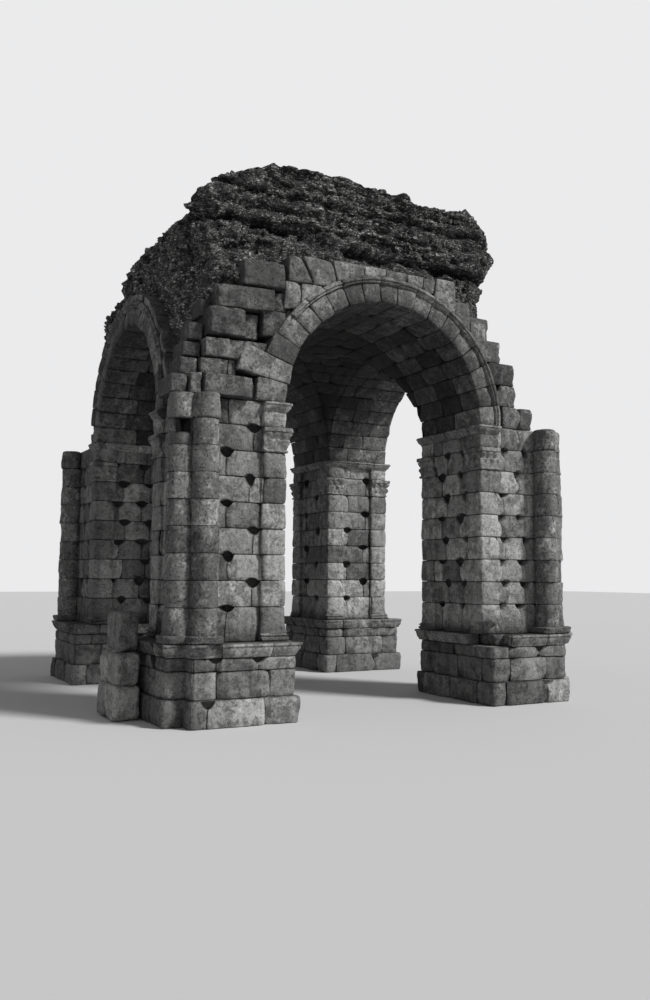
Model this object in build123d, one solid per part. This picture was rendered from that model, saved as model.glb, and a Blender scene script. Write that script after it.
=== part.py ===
"""Ruined four-way triumphal arch in squared granite.

Four piers on moulded plinths carry four round arches and a groin vault over the crossing.
The haunches over the piers are stepped ruins, and the rubble core stands bare above them.
Millimetres, +Z up, the front facade faces -Y, and the origin is on the ground at the centre.
"""

import os

from build123d import *

# Driving dimensions, each one free to change by itself

ARCH_SPAN = 4300.0  # clear width of all four arches
PIER_WIDTH = 1800.0  # along the front
PIER_DEPTH = 2100.0  # along the side

COURSE = 450.0  # one course of squared stone
PLINTH_COURSES = 3
FOOTING_STEP = 60.0  # the lowest course stands out by this much
SHAFT_COURSES = 6  # plain courses between the base course and the capitals
BASE_COURSE = 585.0  # first course over the plinth, with the pilaster bases

PLINTH_FRONT = 380.0  # the plinth stands out this far under the corner columns
PLINTH_JAMB = 30.0  # and this far in the passages
PLINTH_CORNER = 40.0  # and this far past the wall faces in the re-entrant corner
CAP_HEIGHT = 230.0
CAP_REACH = 100.0
CAP_FACE = 50.0  # upright face at the top of a cap or impost
CAP_DRIP = 18.0  # small step under that face
CAP_FILLET = 26.0  # square fillet at the foot of the ovolo
SEAT = 5.0  # a moulding is let into the stone behind it by this much

PILASTER_WIDTH = 480.0
RECESS = 70.0  # wall between the pilasters lies back by this much
BASE_HEIGHT = 200.0
BASE_REACH = 60.0
BASE_FOOT = 70.0  # square foot under the torus
BASE_FILLET = 44.0  # square fillet over the torus
CAPITAL_REACH = 110.0
CAPITAL_ASTRAGAL = 55.0
CAPITAL_ABACUS = 80.0
IMPOST_HEIGHT = 185.0
IMPOST_REACH = 110.0

COLUMN_RADIUS = 250.0
COLUMN_OUT = 120.0  # column centre to wall face
COLUMN_IN_FRONT = 220.0  # centre of the front column to the side face
COLUMN_IN_SIDE = 130.0  # centre of the side column to the front face
COLUMN_PAD_REACH = 50.0  # worn square pad under each column
COLUMN_PAD_HEIGHT = 130.0

RING_THICKNESS = 520.0  # voussoirs, from the intrados to the outer edge of the archivolt
BACKING_THICKNESS = 150.0  # thin stones on the back of the ring
BACKING_SIDES = 14  # flat sides of the rough back of the arches and the vault
BED_RIGHT = 1000.0  # level bed of stones over the front arch, from its middle to its right end
BED_HEIGHT = 700.0
ARCHIVOLT_WIDTH = 140.0
ARCHIVOLT_REACH = 55.0
ARCHIVOLT_BAND = 50.0  # flat outer band of the moulding

CORE_FRONT = 950.0  # bare core lies this far behind the facades
CORE_SIDE = 330.0
CORE_LOWER_COURSES = 7
CORE_NOTCH_COURSES = 3  # the right end of the core is eaten away over this many courses
CORE_NOTCH = 500.0
CORE_UPPER_HEIGHT = 1850.0
CORE_TERRACE = 515.0  # height left at the rear edge, over the seat of the upper core
CORE_OVERHANG = 410.0  # the upper core juts out past the notch
CORE_CREST = 4300.0  # the top is level for this far back, and then slopes down
CORE_GROOVE_LOW = 505.0  # heights of the two deep grooves in the front, over the seat
CORE_GROOVE_HIGH = 1145.0
CORE_GROOVE_DEPTH = 110.0
CORE_GROOVE_MOUTH = 180.0
CORE_BAND_STEP = 60.0  # each band of rubble stands back from the one below its groove
CORE_FLANK_START = 600.0  # the left end is washed lower from this far behind the front
CORE_FLANK_DROP = 260.0
CORE_BREAK = 2050.0  # the rear left of the core has fallen over this much of its depth
CORE_BREAK_WIDTH = 1300.0

BONDER_WIDTH = 930.0  # long stone that juts from the front left haunch
BONDER_HEIGHT = 370.0
BONDER_REACH = 230.0
BONDER_FROM_ARCH = 690.0

STUB_REACH = 480.0  # remains of the side pedestals, out from the plinth cap
STUB_WIDTH = 1150.0
STUB_ABOVE = 500.0  # the broken block on them stands this far over the plinths
STUB_INSET = 60.0

# Sizes that follow

RADIUS = ARCH_SPAN / 2
ARCHIVOLT_RADIUS = RADIUS + RING_THICKNESS
OUTER_RADIUS = ARCHIVOLT_RADIUS + BACKING_THICKNESS
HALF_X = RADIUS + PIER_WIDTH
HALF_Y = RADIUS + PIER_DEPTH
PLINTH_TOP = PLINTH_COURSES * COURSE
CAPITAL_BOTTOM = PLINTH_TOP + BASE_COURSE + SHAFT_COURSES * COURSE
CAPITAL_TOP = CAPITAL_BOTTOM + COURSE
SPRING = CAPITAL_TOP + COURSE
IMPOST_BOTTOM = SPRING - IMPOST_HEIGHT
CORE_SEAT = SPRING + CORE_LOWER_COURSES * COURSE
CORE_X = HALF_X - CORE_SIDE
CORE_Y = HALF_Y - CORE_FRONT
CORE_TOP = CORE_SEAT + CORE_UPPER_HEIGHT

# Front view of the mound's ragged crown, as shares of its half width and of its height
CROWN_LEFT = ((-1.0, 0.3), (-0.935, 0.57), (-0.86, 0.72), (-0.77, 0.82), (-0.57, 0.965))
CROWN_TOP = ((-0.12, 1.0), (0.05, 0.93), (0.31, 0.975), (0.34, 0.88), (0.73, 0.93))
CROWN_RIGHT = ((0.83, 0.9), (0.92, 0.77), (0.94, 0.57))

# Which way each pier lies from the centre

PIERS = {
    "front_left": (-1, -1),
    "front_right": (1, -1),
    "rear_left": (-1, 1),
    "rear_right": (1, 1),
}

# How many whole courses each haunch keeps, and how far it steps back from the side face at each
HAUNCHES = {
    "front_left": (150, 220, 290, 400, 450, 810),
    "front_right": (370, 770, 780, 1120, 1400),
    "rear_left": (240, 560, 900, 1130),
    "rear_right": (300, 620, 820, 1150),
}

# Steps back from the front or rear face, as a share of those from the side face
HAUNCH_SHARES = {"front_left": 0.1, "front_right": 0.1, "rear_left": 1.15, "rear_right": 1.15}


def block(x0, x1, y0, y1, z0, z1):
    """Upright block between two corners."""
    return Pos((x0 + x1) / 2, (y0 + y1) / 2, (z0 + z1) / 2) * Box(
        abs(x1 - x0), abs(y1 - y0), abs(z1 - z0)
    )


def placed(shape, signs):
    """Turn a piece made for the rear right pier into the one for another pier."""
    if signs == (-1, -1):
        return Rot(0, 0, 180) * shape
    if signs[0] < 0:
        return mirror(shape, about=Plane.YZ)
    if signs[1] < 0:
        return mirror(shape, about=Plane.XZ)
    return shape


def prism(points, z0, z1):
    """Plan outline raised from one height to another."""
    return extrude(Pos(0, 0, z0) * make_face(Polyline(*points, close=True)), z1 - z0)


def moulding(path, profile, z0, closed=False):
    """Carry a profile of (reach, height) edges along a plan path that has the outside on its left."""
    (xa, ya), (xb, yb) = path[0], path[1]
    length = ((xb - xa) ** 2 + (yb - ya) ** 2) ** 0.5
    tangent = ((xb - xa) / length, (yb - ya) / length)
    start = Plane(
        origin=(xa, ya, z0),
        x_dir=(-tangent[1], tangent[0], 0),
        z_dir=(tangent[0], tangent[1], 0),
    )
    wire = Polyline(*[(x, y, z0) for x, y in path], close=closed)
    return sweep(start * make_face(profile), path=wire, transition=Transition.RIGHT)


def bulge(start, end, depth):
    """Arc between two profile points that swells outwards by a depth at its middle."""
    (xa, ya), (xb, yb) = start, end
    length = ((xb - xa) ** 2 + (yb - ya) ** 2) ** 0.5
    middle = (
        (xa + xb) / 2 + (yb - ya) / length * depth,
        (ya + yb) / 2 - (xb - xa) / length * depth,
    )
    return ThreePointArc(start, middle, end)


def cap_profile(reach, height):
    """Fillet, ovolo and drip of a plinth cap or impost, widest at the top."""
    foot = (CAP_FILLET, CAP_FILLET)
    drip = (reach - CAP_DRIP, height - CAP_FACE)
    lines = Polyline(
        drip, (reach, height - CAP_FACE), (reach, height), (-SEAT, height), (-SEAT, 0),
        (CAP_FILLET, 0), foot,
    )
    return lines + bulge(foot, drip, CAP_DRIP)


def base_profile(reach, height):
    """Square foot, round torus and small fillet of a pilaster base."""
    low = (reach, BASE_FOOT)
    high = (reach / 2, height - BASE_FILLET)
    lines = Polyline(high, (reach / 2, height), (-SEAT, height), (-SEAT, 0), (reach, 0), low)
    return lines + bulge(low, high, BASE_FILLET / 2)


def capital_profile(reach, height):
    """Astragal, hollow bell and abacus of a capital."""
    low = (reach / 6, CAPITAL_ASTRAGAL)
    high = (reach, height - CAPITAL_ABACUS)
    lines = Polyline(
        high, (reach, height), (-SEAT, height), (-SEAT, 0), (reach / 3, 0),
        (reach / 3, CAPITAL_ASTRAGAL), low,
    )
    return lines + bulge(low, high, -reach / 6)


def plinth_outline(grow=0.0):
    """Plan of a plinth: one wing under each corner column, with a re-entrant corner between."""
    jamb = RADIUS - PLINTH_JAMB - grow
    near = PLINTH_CORNER + grow
    far = PLINTH_FRONT + grow
    return [
        (jamb, jamb),
        (jamb, HALF_Y + far),
        (HALF_X + near, HALF_Y + far),
        (HALF_X + near, HALF_Y + near),
        (HALF_X + far, HALF_Y + near),
        (HALF_X + far, jamb),
    ]


def plinth():
    """Plinth body with a footing course."""
    body = prism(plinth_outline(), COURSE, PLINTH_TOP - CAP_HEIGHT)
    return prism(plinth_outline(FOOTING_STEP), 0, COURSE) + body


def plinth_cap():
    """Moulded cap course of a plinth."""
    slab = prism(plinth_outline(), PLINTH_TOP - CAP_HEIGHT, PLINTH_TOP)
    edge = moulding(
        plinth_outline(), cap_profile(CAP_REACH, CAP_HEIGHT), PLINTH_TOP - CAP_HEIGHT, True
    )
    return slab + edge


def wall_outline():
    """Plan of a pier shaft: pilasters at three corners, and recessed wall between them."""
    a, x, y, p, r = RADIUS, HALF_X, HALF_Y, PILASTER_WIDTH, RECESS
    return [
        (a, a), (a, a + p), (a + r, a + p), (a + r, y - p), (a, y - p), (a, y),
        (a + p, y), (a + p, y - r), (x - r, y - r), (x - r, a + p), (x, a + p), (x, a),
        (x - p, a), (x - p, a + r), (a + p, a + r), (a + p, a),
    ]


def corner_stones(z0, z1):
    """The three corner stones of a pier that carry a pilaster, as plan rectangles."""
    a, x, y, p = RADIUS, HALF_X, HALF_Y, PILASTER_WIDTH
    return [
        block(a, a + p, a, a + p, z0, z1),
        block(a, a + p, y - p, y, z0, z1),
        block(x - p, x, a, a + p, z0, z1),
    ]


def corner_paths():
    """Plan paths round the open sides of the three corner stones, outside on the left."""
    a, x, y, p = RADIUS, HALF_X, HALF_Y, PILASTER_WIDTH
    return [
        [(a + p, a), (a, a), (a, a + p)],
        [(a, y - p), (a, y), (a + p, y)],
        [(x, a + p), (x, a), (x - p, a)],
    ]


def corner_set(profile, z0, z1):
    """Corner stones with a moulding on their open sides."""
    stones = corner_stones(z0, z1)
    paths = corner_paths()
    solids = []
    for stone, path in zip(stones, paths):
        solids += (stone + moulding(path, profile, z0)).solids()
    return Compound(children=solids)


def pilaster_bases():
    """Moulded feet of the three pilasters."""
    profile = base_profile(BASE_REACH, BASE_HEIGHT)
    return corner_set(profile, PLINTH_TOP, PLINTH_TOP + BASE_HEIGHT)


def pilaster_capitals():
    """Worn leaf capitals of the three pilasters, without their carving."""
    profile = capital_profile(CAPITAL_REACH, COURSE)
    return corner_set(profile, CAPITAL_BOTTOM, CAPITAL_TOP)


def pier():
    """Shaft of a pier, with room for the base and capital stones."""
    shaft = prism(wall_outline(), PLINTH_TOP, IMPOST_BOTTOM)
    for stone in corner_stones(PLINTH_TOP, PLINTH_TOP + BASE_HEIGHT):
        shaft -= stone
    for stone in corner_stones(CAPITAL_BOTTOM, CAPITAL_TOP):
        shaft -= stone
    return shaft


def corner_columns():
    """Two engaged columns at the outer corner, one to each facade, grown into one."""
    front = (HALF_X - COLUMN_IN_FRONT, HALF_Y + COLUMN_OUT)
    side = (HALF_X + COLUMN_OUT, HALF_Y - COLUMN_IN_SIDE)
    half = COLUMN_RADIUS + COLUMN_PAD_REACH
    height = SPRING - PLINTH_TOP
    shape = None
    for x, y in (front, side):
        shaft = Pos(x, y, PLINTH_TOP + height / 2) * Cylinder(COLUMN_RADIUS, height)
        pad = block(x - half, x + half, y - half, y + half, PLINTH_TOP, PLINTH_TOP + COLUMN_PAD_HEIGHT)
        shape = shaft + pad if shape is None else shape + shaft + pad
    inner = block(0, HALF_X - RECESS, 0, HALF_Y - RECESS, 0, SPRING + COURSE)
    limit = prism(plinth_outline(CAP_REACH), PLINTH_TOP, SPRING)
    return (shape - inner) & limit


def impost():
    """Moulded course under the springing, on the passage sides and the jamb pilasters."""
    a, x, y, p, r = RADIUS, HALF_X, HALF_Y, PILASTER_WIDTH, RECESS
    slab = block(a, x - r, a, y - r, IMPOST_BOTTOM, SPRING)
    slab += block(a, a + p, a, y, IMPOST_BOTTOM, SPRING)
    slab += block(a, x, a, a + p, IMPOST_BOTTOM, SPRING)
    path = [(x, a + p), (x, a), (a, a), (a, y), (a + p, y)]
    edge = moulding(path, cap_profile(IMPOST_REACH, IMPOST_HEIGHT), IMPOST_BOTTOM)
    return slab + edge


def barrel(radius, along_y):
    """Full cylinder on the springing line, right through the building."""
    length = 4 * (HALF_Y if along_y else HALF_X)
    turn = Rot(90, 0, 0) if along_y else Rot(0, 90, 0)
    return Pos(0, 0, SPRING) * turn * Cylinder(radius, length)


def rough_back(along_y):
    """Faceted prism on the springing line: the rough outside of the arches and the vault."""
    length = 4 * (HALF_Y if along_y else HALF_X)
    section = RegularPolygon(
        OUTER_RADIUS, 2 * BACKING_SIDES, major_radius=False, rotation=90 / BACKING_SIDES
    )
    plane = Plane(origin=(0, 0, SPRING), x_dir=(1, 0, 0), z_dir=(0, -1, 0))
    if not along_y:
        plane = Plane(origin=(0, 0, SPRING), x_dir=(0, 1, 0), z_dir=(1, 0, 0))
    return extrude(plane * section, length / 2, both=True)


def over_spring(x0, x1, y0, y1, top):
    """Block from the springing line up."""
    return block(x0, x1, y0, y1, SPRING, top)


def facade_arch(along_y):
    """Arch ring on the positive facade: voussoirs through the pier's depth, and the archivolt."""
    face = HALF_Y if along_y else HALF_X
    crown = SPRING + OUTER_RADIUS
    reach = 2 * OUTER_RADIUS
    if along_y:
        space = over_spring(-reach, reach, RADIUS, face, crown)
    else:
        space = over_spring(RADIUS, face, -reach, reach, crown)
    ring = (space & rough_back(along_y)) - barrel(RADIUS, along_y)
    return ring + archivolt(along_y, face)


def level_bed():
    """Stones that fill the front facade out to a level bed over the crown, on the rear arch's side."""
    bed = block(-BED_RIGHT, RADIUS, CORE_Y, HALF_Y, SPRING + OUTER_RADIUS - BED_HEIGHT, SPRING + OUTER_RADIUS)
    return bed - rough_back(True)


def archivolt(along_y, face):
    """Moulding along the outer edge of an arch ring, turned about the arch's axis."""
    outer = ARCHIVOLT_RADIUS
    inner = outer - ARCHIVOLT_WIDTH
    reach = ARCHIVOLT_REACH
    section = Polyline(
        (inner, 0), (inner, -SEAT), (outer, -SEAT), (outer, reach),
        (outer - ARCHIVOLT_BAND, reach), close=True,
    )
    if along_y:
        plane = Plane(origin=(0, face, SPRING), x_dir=(1, 0, 0), z_dir=(0, 0, 1))
        axis = Axis((0, face, SPRING), (0, -1, 0))
    else:
        plane = Plane(origin=(face, 0, SPRING), x_dir=(0, -1, 0), z_dir=(0, 0, 1))
        axis = Axis((face, 0, SPRING), (-1, 0, 0))
    return revolve(plane * make_face(section), axis=axis, revolution_arc=180)


def arches():
    """The four facade arches, with the side ones cut back where they meet the front and rear."""
    rear = facade_arch(True)
    right = facade_arch(False)
    front = Rot(0, 0, 180) * (rear + level_bed())
    right = right - rear - mirror(rear, about=Plane.XZ)
    return {
        "front_arch": front,
        "rear_arch": rear,
        "right_arch": right,
        "left_arch": mirror(right, about=Plane.YZ),
    }


def vault_webs():
    """The four webs of the groin vault, each a barrel cut off along the groins it meets."""
    space = over_spring(-RADIUS, RADIUS, -RADIUS, RADIUS, SPRING + OUTER_RADIUS)
    front = triangle((0, 0), (-RADIUS, -RADIUS), (RADIUS, -RADIUS)) & space
    right = triangle((0, 0), (RADIUS, -RADIUS), (RADIUS, RADIUS)) & space
    front = (front & rough_back(True)) - barrel(RADIUS, True)
    right = (right & rough_back(False)) - barrel(RADIUS, False)
    return {
        "vault_web_front": front,
        "vault_web_rear": mirror(front, about=Plane.XZ),
        "vault_web_right": right,
        "vault_web_left": mirror(right, about=Plane.YZ),
    }


def triangle(a, b, c):
    """Upright prism on three plan points, from the springing line past the crowns."""
    return prism([a, b, c], SPRING, SPRING + OUTER_RADIUS)


def haunch(steps, share):
    """Stepped ashlar over one pier, each course set back further than the one below it."""
    shape = None
    for course, back in enumerate(steps):
        z0 = SPRING + course * COURSE
        stone = block(RADIUS, HALF_X - back, RADIUS, HALF_Y - back * share, z0, z0 + COURSE)
        shape = stone if shape is None else shape + stone
    for along_y in (True, False):
        shape -= rough_back(along_y)
    return shape


def bonder():
    """Long stone that juts from the facade over the impost, on the rear right pier's frame."""
    x0 = RADIUS + BONDER_FROM_ARCH
    y0 = HALF_Y - BONDER_REACH
    return block(x0, x0 + BONDER_WIDTH, y0, HALF_Y + BONDER_REACH, SPRING, SPRING + BONDER_HEIGHT)


def core_lower(haunches):
    """Rubble fill over the vault, between the haunches and the arches."""
    notch = CORE_SEAT - CORE_NOTCH_COURSES * COURSE
    body = block(-CORE_X, CORE_X, -CORE_Y, CORE_Y, SPRING, notch)
    body += block(-CORE_X, CORE_X - CORE_NOTCH, -CORE_Y, CORE_Y, notch, CORE_SEAT)
    for along_y in (True, False):
        body -= rough_back(along_y)
    for piece in haunches:
        body -= piece
    return body


def core_front_outline():
    """Front view of the upper core: ragged crown, rounded left end, overhang at the right."""
    foot = CORE_X - CORE_NOTCH
    lip = foot + CORE_OVERHANG
    crown = [(x * CORE_X, CORE_SEAT + z * CORE_UPPER_HEIGHT) for x, z in CROWN_LEFT + CROWN_TOP + CROWN_RIGHT]
    brow = [
        (lip, CORE_SEAT + CORE_UPPER_HEIGHT / 2), (lip, CORE_SEAT + CORE_UPPER_HEIGHT / 3),
        (foot, CORE_SEAT),
    ]
    return Polyline((-CORE_X, CORE_SEAT), *crown, *brow, close=True)


def core_side_outline():
    """Side view of the upper core: grooved bands at the front, and a top that slopes down to the rear."""
    face = -CORE_Y
    mouth = CORE_GROOVE_MOUTH / 2
    points = [(face, CORE_SEAT)]
    for level in (CORE_GROOVE_LOW, CORE_GROOVE_HIGH):
        z = CORE_SEAT + level
        points += [(face, z - mouth), (face + CORE_GROOVE_DEPTH, z), (face + CORE_BAND_STEP, z + mouth)]
        face += CORE_BAND_STEP
    points += [
        (face, CORE_TOP), (CORE_CREST - CORE_Y, CORE_TOP), (CORE_Y, CORE_SEAT + CORE_TERRACE),
        (CORE_Y, CORE_SEAT),
    ]
    return Polyline(*points, close=True)


def core_upper():
    """Weathered mound of rubble at the top: its front outline crossed with its side outline."""
    front = make_face(core_front_outline())
    mound = extrude(Plane.XZ * front, amount=2 * CORE_Y, both=True)
    mound &= extrude(Plane.YZ * make_face(core_side_outline()), amount=2 * CORE_X, both=True)
    flank = [(x * CORE_X, CORE_SEAT + z * CORE_UPPER_HEIGHT - CORE_FLANK_DROP) for x, z in CROWN_LEFT]
    corners = [(-2 * CORE_X, flank[0][1]), *flank, (flank[-1][0], 2 * CORE_TOP), (-2 * CORE_X, 2 * CORE_TOP)]
    washed = extrude(Plane.XZ * make_face(Polyline(*corners, close=True)), amount=-2 * CORE_Y)
    mound -= Pos(0, CORE_FLANK_START - CORE_Y, 0) * washed
    fallen = prism(
        [
            (-2 * CORE_X, CORE_Y - CORE_BREAK), (-CORE_X + CORE_BREAK_WIDTH / 2, CORE_Y - CORE_BREAK),
            (-CORE_X + CORE_BREAK_WIDTH, 2 * CORE_Y), (-2 * CORE_X, 2 * CORE_Y),
        ],
        CORE_SEAT, CORE_TOP,
    )
    return mound - fallen


def pedestal_stub():
    """Broken remains of the pedestal that stood against the side of the plinth."""
    x0 = HALF_X + PLINTH_FRONT + CAP_REACH
    x1 = x0 + STUB_REACH
    y0 = RADIUS + STUB_INSET
    y1 = y0 + STUB_WIDTH
    lower = block(x0, x1, y0, y1, 0, PLINTH_TOP)
    inset = STUB_INSET
    return lower + block(x0, x1 - inset, y0 + inset, y1 - inset, 0, PLINTH_TOP + STUB_ABOVE)


def build():
    """Every piece of the arch, by node name."""
    nodes = {}
    haunches = []
    for name, signs in PIERS.items():
        nodes["plinth_" + name] = placed(plinth(), signs)
        nodes["plinth_cap_" + name] = placed(plinth_cap(), signs)
        nodes["pier_" + name] = placed(pier(), signs)
        nodes["pilaster_bases_" + name] = placed(pilaster_bases(), signs)
        nodes["pilaster_capitals_" + name] = placed(pilaster_capitals(), signs)
        nodes["corner_columns_" + name] = placed(corner_columns(), signs)
        nodes["impost_" + name] = placed(impost(), signs)
        shape = haunch(HAUNCHES[name], HAUNCH_SHARES[name])
        if name == "front_left":
            shape += bonder()
        nodes["haunch_" + name] = placed(shape, signs)
        haunches.append(nodes["haunch_" + name])
    for name in ("front_left", "front_right"):
        nodes["pedestal_stub_" + name] = placed(pedestal_stub(), PIERS[name])
    nodes.update(arches())
    nodes.update(vault_webs())
    nodes["core_lower"] = core_lower(haunches)
    nodes["core_upper"] = core_upper()
    return nodes


os.makedirs("parts", exist_ok=True)
for node, shape in build().items():
    export_step(shape, "parts/" + node + ".step")
    print(node, len(shape.solids()), round(shape.volume / 1e9, 3), "m3")
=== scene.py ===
"""Ruined four-way triumphal arch: worn squared stones, mouldings, vault and rubble core."""

import math

import bpy
import numpy as np
from mathutils import Matrix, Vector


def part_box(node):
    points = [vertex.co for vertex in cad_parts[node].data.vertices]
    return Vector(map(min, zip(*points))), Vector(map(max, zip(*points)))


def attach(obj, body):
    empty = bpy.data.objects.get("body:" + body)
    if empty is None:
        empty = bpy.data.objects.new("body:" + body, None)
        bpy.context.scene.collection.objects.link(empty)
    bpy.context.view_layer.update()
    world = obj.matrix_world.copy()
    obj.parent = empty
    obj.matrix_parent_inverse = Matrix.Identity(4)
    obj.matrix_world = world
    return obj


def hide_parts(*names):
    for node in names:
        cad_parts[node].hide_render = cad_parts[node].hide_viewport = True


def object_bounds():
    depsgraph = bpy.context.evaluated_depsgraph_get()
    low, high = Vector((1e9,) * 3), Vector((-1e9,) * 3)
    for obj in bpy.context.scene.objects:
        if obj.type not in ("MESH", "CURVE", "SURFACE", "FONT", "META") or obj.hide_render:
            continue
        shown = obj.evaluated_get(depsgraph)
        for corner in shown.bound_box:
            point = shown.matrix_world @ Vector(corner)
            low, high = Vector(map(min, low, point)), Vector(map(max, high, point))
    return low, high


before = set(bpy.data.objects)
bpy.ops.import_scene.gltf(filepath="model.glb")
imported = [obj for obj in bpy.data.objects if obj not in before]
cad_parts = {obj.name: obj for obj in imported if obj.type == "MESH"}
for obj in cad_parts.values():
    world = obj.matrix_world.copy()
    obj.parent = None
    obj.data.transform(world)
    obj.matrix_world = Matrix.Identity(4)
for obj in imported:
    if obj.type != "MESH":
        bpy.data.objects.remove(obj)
CAD_BOX = [list(corner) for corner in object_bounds()]

bl_info = {
    "name": "Ruined four-way arch",
    "version": (1, 0, 0),
    "blender": (4, 5, 0),
    "location": "3D View > Sidebar > Ruin",
    "description": "Builds the stones, mouldings and rubble of a ruined four-way arch",
    "category": "Add Mesh",
}

# Piers and facades

SIGNS = {"front_left": (-1, -1), "front_right": (1, -1), "rear_left": (-1, 1), "rear_right": (1, 1)}
FACADES = ("front", "right", "rear", "left")

# Places read from the frame, in metres, on the rear right pier

PIER_LOW, PIER_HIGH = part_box("pier_rear_right")
IMPOST_LOW, IMPOST_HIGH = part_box("impost_rear_right")
CAPITAL_LOW, CAPITAL_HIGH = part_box("pilaster_capitals_rear_right")
CAP_LOW, CAP_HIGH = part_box("plinth_cap_rear_right")
CORE_LOW, CORE_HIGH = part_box("core_lower")
MOUND_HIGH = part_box("core_upper")[1]

RADIUS, HALF_X, HALF_Y = PIER_LOW.x, PIER_HIGH.x, PIER_HIGH.y
PLINTH_TOP, SPRING = PIER_LOW.z, IMPOST_HIGH.z
COURSE = CAPITAL_HIGH.z - CAPITAL_LOW.z
OUTER_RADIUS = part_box("front_arch")[1].z - SPRING
BASE_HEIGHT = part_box("pilaster_bases_rear_right")[1].z - PLINTH_TOP
CORE_X, CORE_Y = -CORE_LOW.x, CORE_HIGH.y

# Bed joints of the shafts: full courses counted from the capitals' foot, between the plinth and the springing
SHAFT_FOOT = CAPITAL_LOW.z - 6 * COURSE
SHAFT_LEVELS = (PLINTH_TOP, *(SHAFT_FOOT + n * COURSE for n in range(8)), SPRING)

# Sizes of the ruin that no box of the frame gives, in metres

PILASTER = 0.48
RECESS = 0.07
ARCHIVOLT_WIDTH = 0.14
ARCHIVOLT_REACH = 0.055
BACKING = 0.15
VAULT_THICKNESS = 0.45
PLINTH_JAMB = 0.03
PLINTH_CORNER = 0.04
FOOTING_STEP = 0.06
CAP_REACH = RADIUS - PLINTH_JAMB - CAP_LOW.x
PLINTH_FRONT = CAP_HIGH.y - HALF_Y - CAP_REACH

# The pier that has lost a corner of its plinth's cap and of its shaft's foot, and how deep each break is
BROKEN_PIER = "front_right"
CAP_BREAK = 0.3
FOOT_BREAK = 0.2
# Depth of the stones of a shaft's foot course, and of the fill behind them on the broken pier
FOOT_DEPTH = 0.235
# Piers with two joints in each side of a course
SMALL_STONED = ("front_right", "rear_left")
# Share of a shaft's joints with a clamp hole, and the first courses without holes and with darker stones
POCKET_SHARE = 0.92
WHOLE_COURSE = 8
DARK_COURSE = 7
# How much darker than the rear right pier each pier's stones are made
SHADES = {"front_left": -0.06, "front_right": 0.1, "rear_left": 0.2, "rear_right": 0.0}

# Engaged columns on the rear right pier, and the square pads under them
COLUMN_RADIUS = 0.25
COLUMNS = ((HALF_X - 0.22, HALF_Y + 0.12), (HALF_X + 0.12, HALF_Y - 0.13))
PAD_HALF = 0.3
PAD_HEIGHT = 0.13
# Directions from a column's axis to the points of its rings
DRUM_TURNS = np.linspace(0, 2 * math.pi, 30, endpoint=False)
# The drum with a square hole, as pier, column and course, and the hole's direction and half width as angles
HOLED_DRUM = ("front_left", 1, 7)
HOLE_TURN = -math.radians(100)
HOLE_HALF_TURN = 0.33
HOLE_HEIGHT = 0.225
HOLE_DEPTH = 0.17

# Values held at each point of a mesh, which the finishes read
VALUES = ("tone", "edge", "shade")
# Painted shade of a face that looks to the left side, and of one that looks down
LEFT_PAINTED_SHADE = 0.42
SOFFIT_PAINTED_SHADE = 0.72
# Darkest shade of an open face, and the painted shade in the hole of a drum
DARKEST = 0.9
HOLE_SHADE = 1.15
# Height of the lighter rim at the top of a fill, and the fill's painted shades from the foot up
FILL_RIM = 0.012
FILL_SHADES = (1.0, 1.0, 0.35)
# Each stone takes its noise from a place up to this far off, so that no two are alike
NOISE_SHIFT = 40
# Places across a clamp hole, in half widths, where a stone's grid gets a line
POCKET_MARKS = (-1.0, -0.85, -0.45, 0.0, 0.45, 0.85, 1.0)
# Distance that stands for no arris near by
FAR = 9.0
# Relief of a stone's face in broad, middle and fine noise, and what ragged edges and arrises lose, in metres
BROAD_RELIEF = 0.009
LUMP_RELIEF = 0.006
FINE_RELIEF = 0.004
EDGE_LOSS = 0.014
# How far in from the edges the ragged loss falls to a third, and how high the darkening at a stone's foot
# climbs
RAGGED_REACH = 0.03
FOOT_DARK_HEIGHT = 0.12
# Share of the corners that are chipped, and the deepest chip
CHIPPED_SHARE = 0.6
DEEPEST_CHIP = 0.06


class StoneSizes(bpy.types.PropertyGroup):
    """Sizes shared by all squared stones."""

    joint: bpy.props.FloatProperty(
        name="Joint", description="Open joint between two stones", default=0.006, min=0.0, unit="LENGTH"
    )
    rounding: bpy.props.FloatProperty(
        name="Rounding", description="Radius of a stone's worn edges", default=0.015, min=0.001, unit="LENGTH"
    )
    wear: bpy.props.FloatProperty(
        name="Wear", description="How far weather has eaten the faces, 1 as in the ruin", default=1.0, min=0.0
    )
    depth: bpy.props.FloatProperty(
        name="Depth", description="Depth of a facing stone", default=0.2, min=0.05, unit="LENGTH"
    )
    gap_depth: bpy.props.FloatProperty(
        name="Gap depth", description="Depth to the fill behind open joints", default=0.09, unit="LENGTH"
    )
    grid: bpy.props.FloatProperty(
        name="Grid", description="Spacing of the points over a stone's face", default=0.08, unit="LENGTH"
    )
    pocket_width: bpy.props.FloatProperty(
        name="Pocket width", description="Half width of a robbed clamp hole", default=0.15, unit="LENGTH"
    )
    pocket_height: bpy.props.FloatProperty(
        name="Pocket height", description="Height of a robbed clamp hole", default=0.12, unit="LENGTH"
    )
    voussoirs: bpy.props.IntProperty(
        name="Voussoirs", description="Number of wedge stones in an arch", default=19, min=5
    )
    seed: bpy.props.IntProperty(name="Seed", description="Start of the random draws", default=7)


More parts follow.
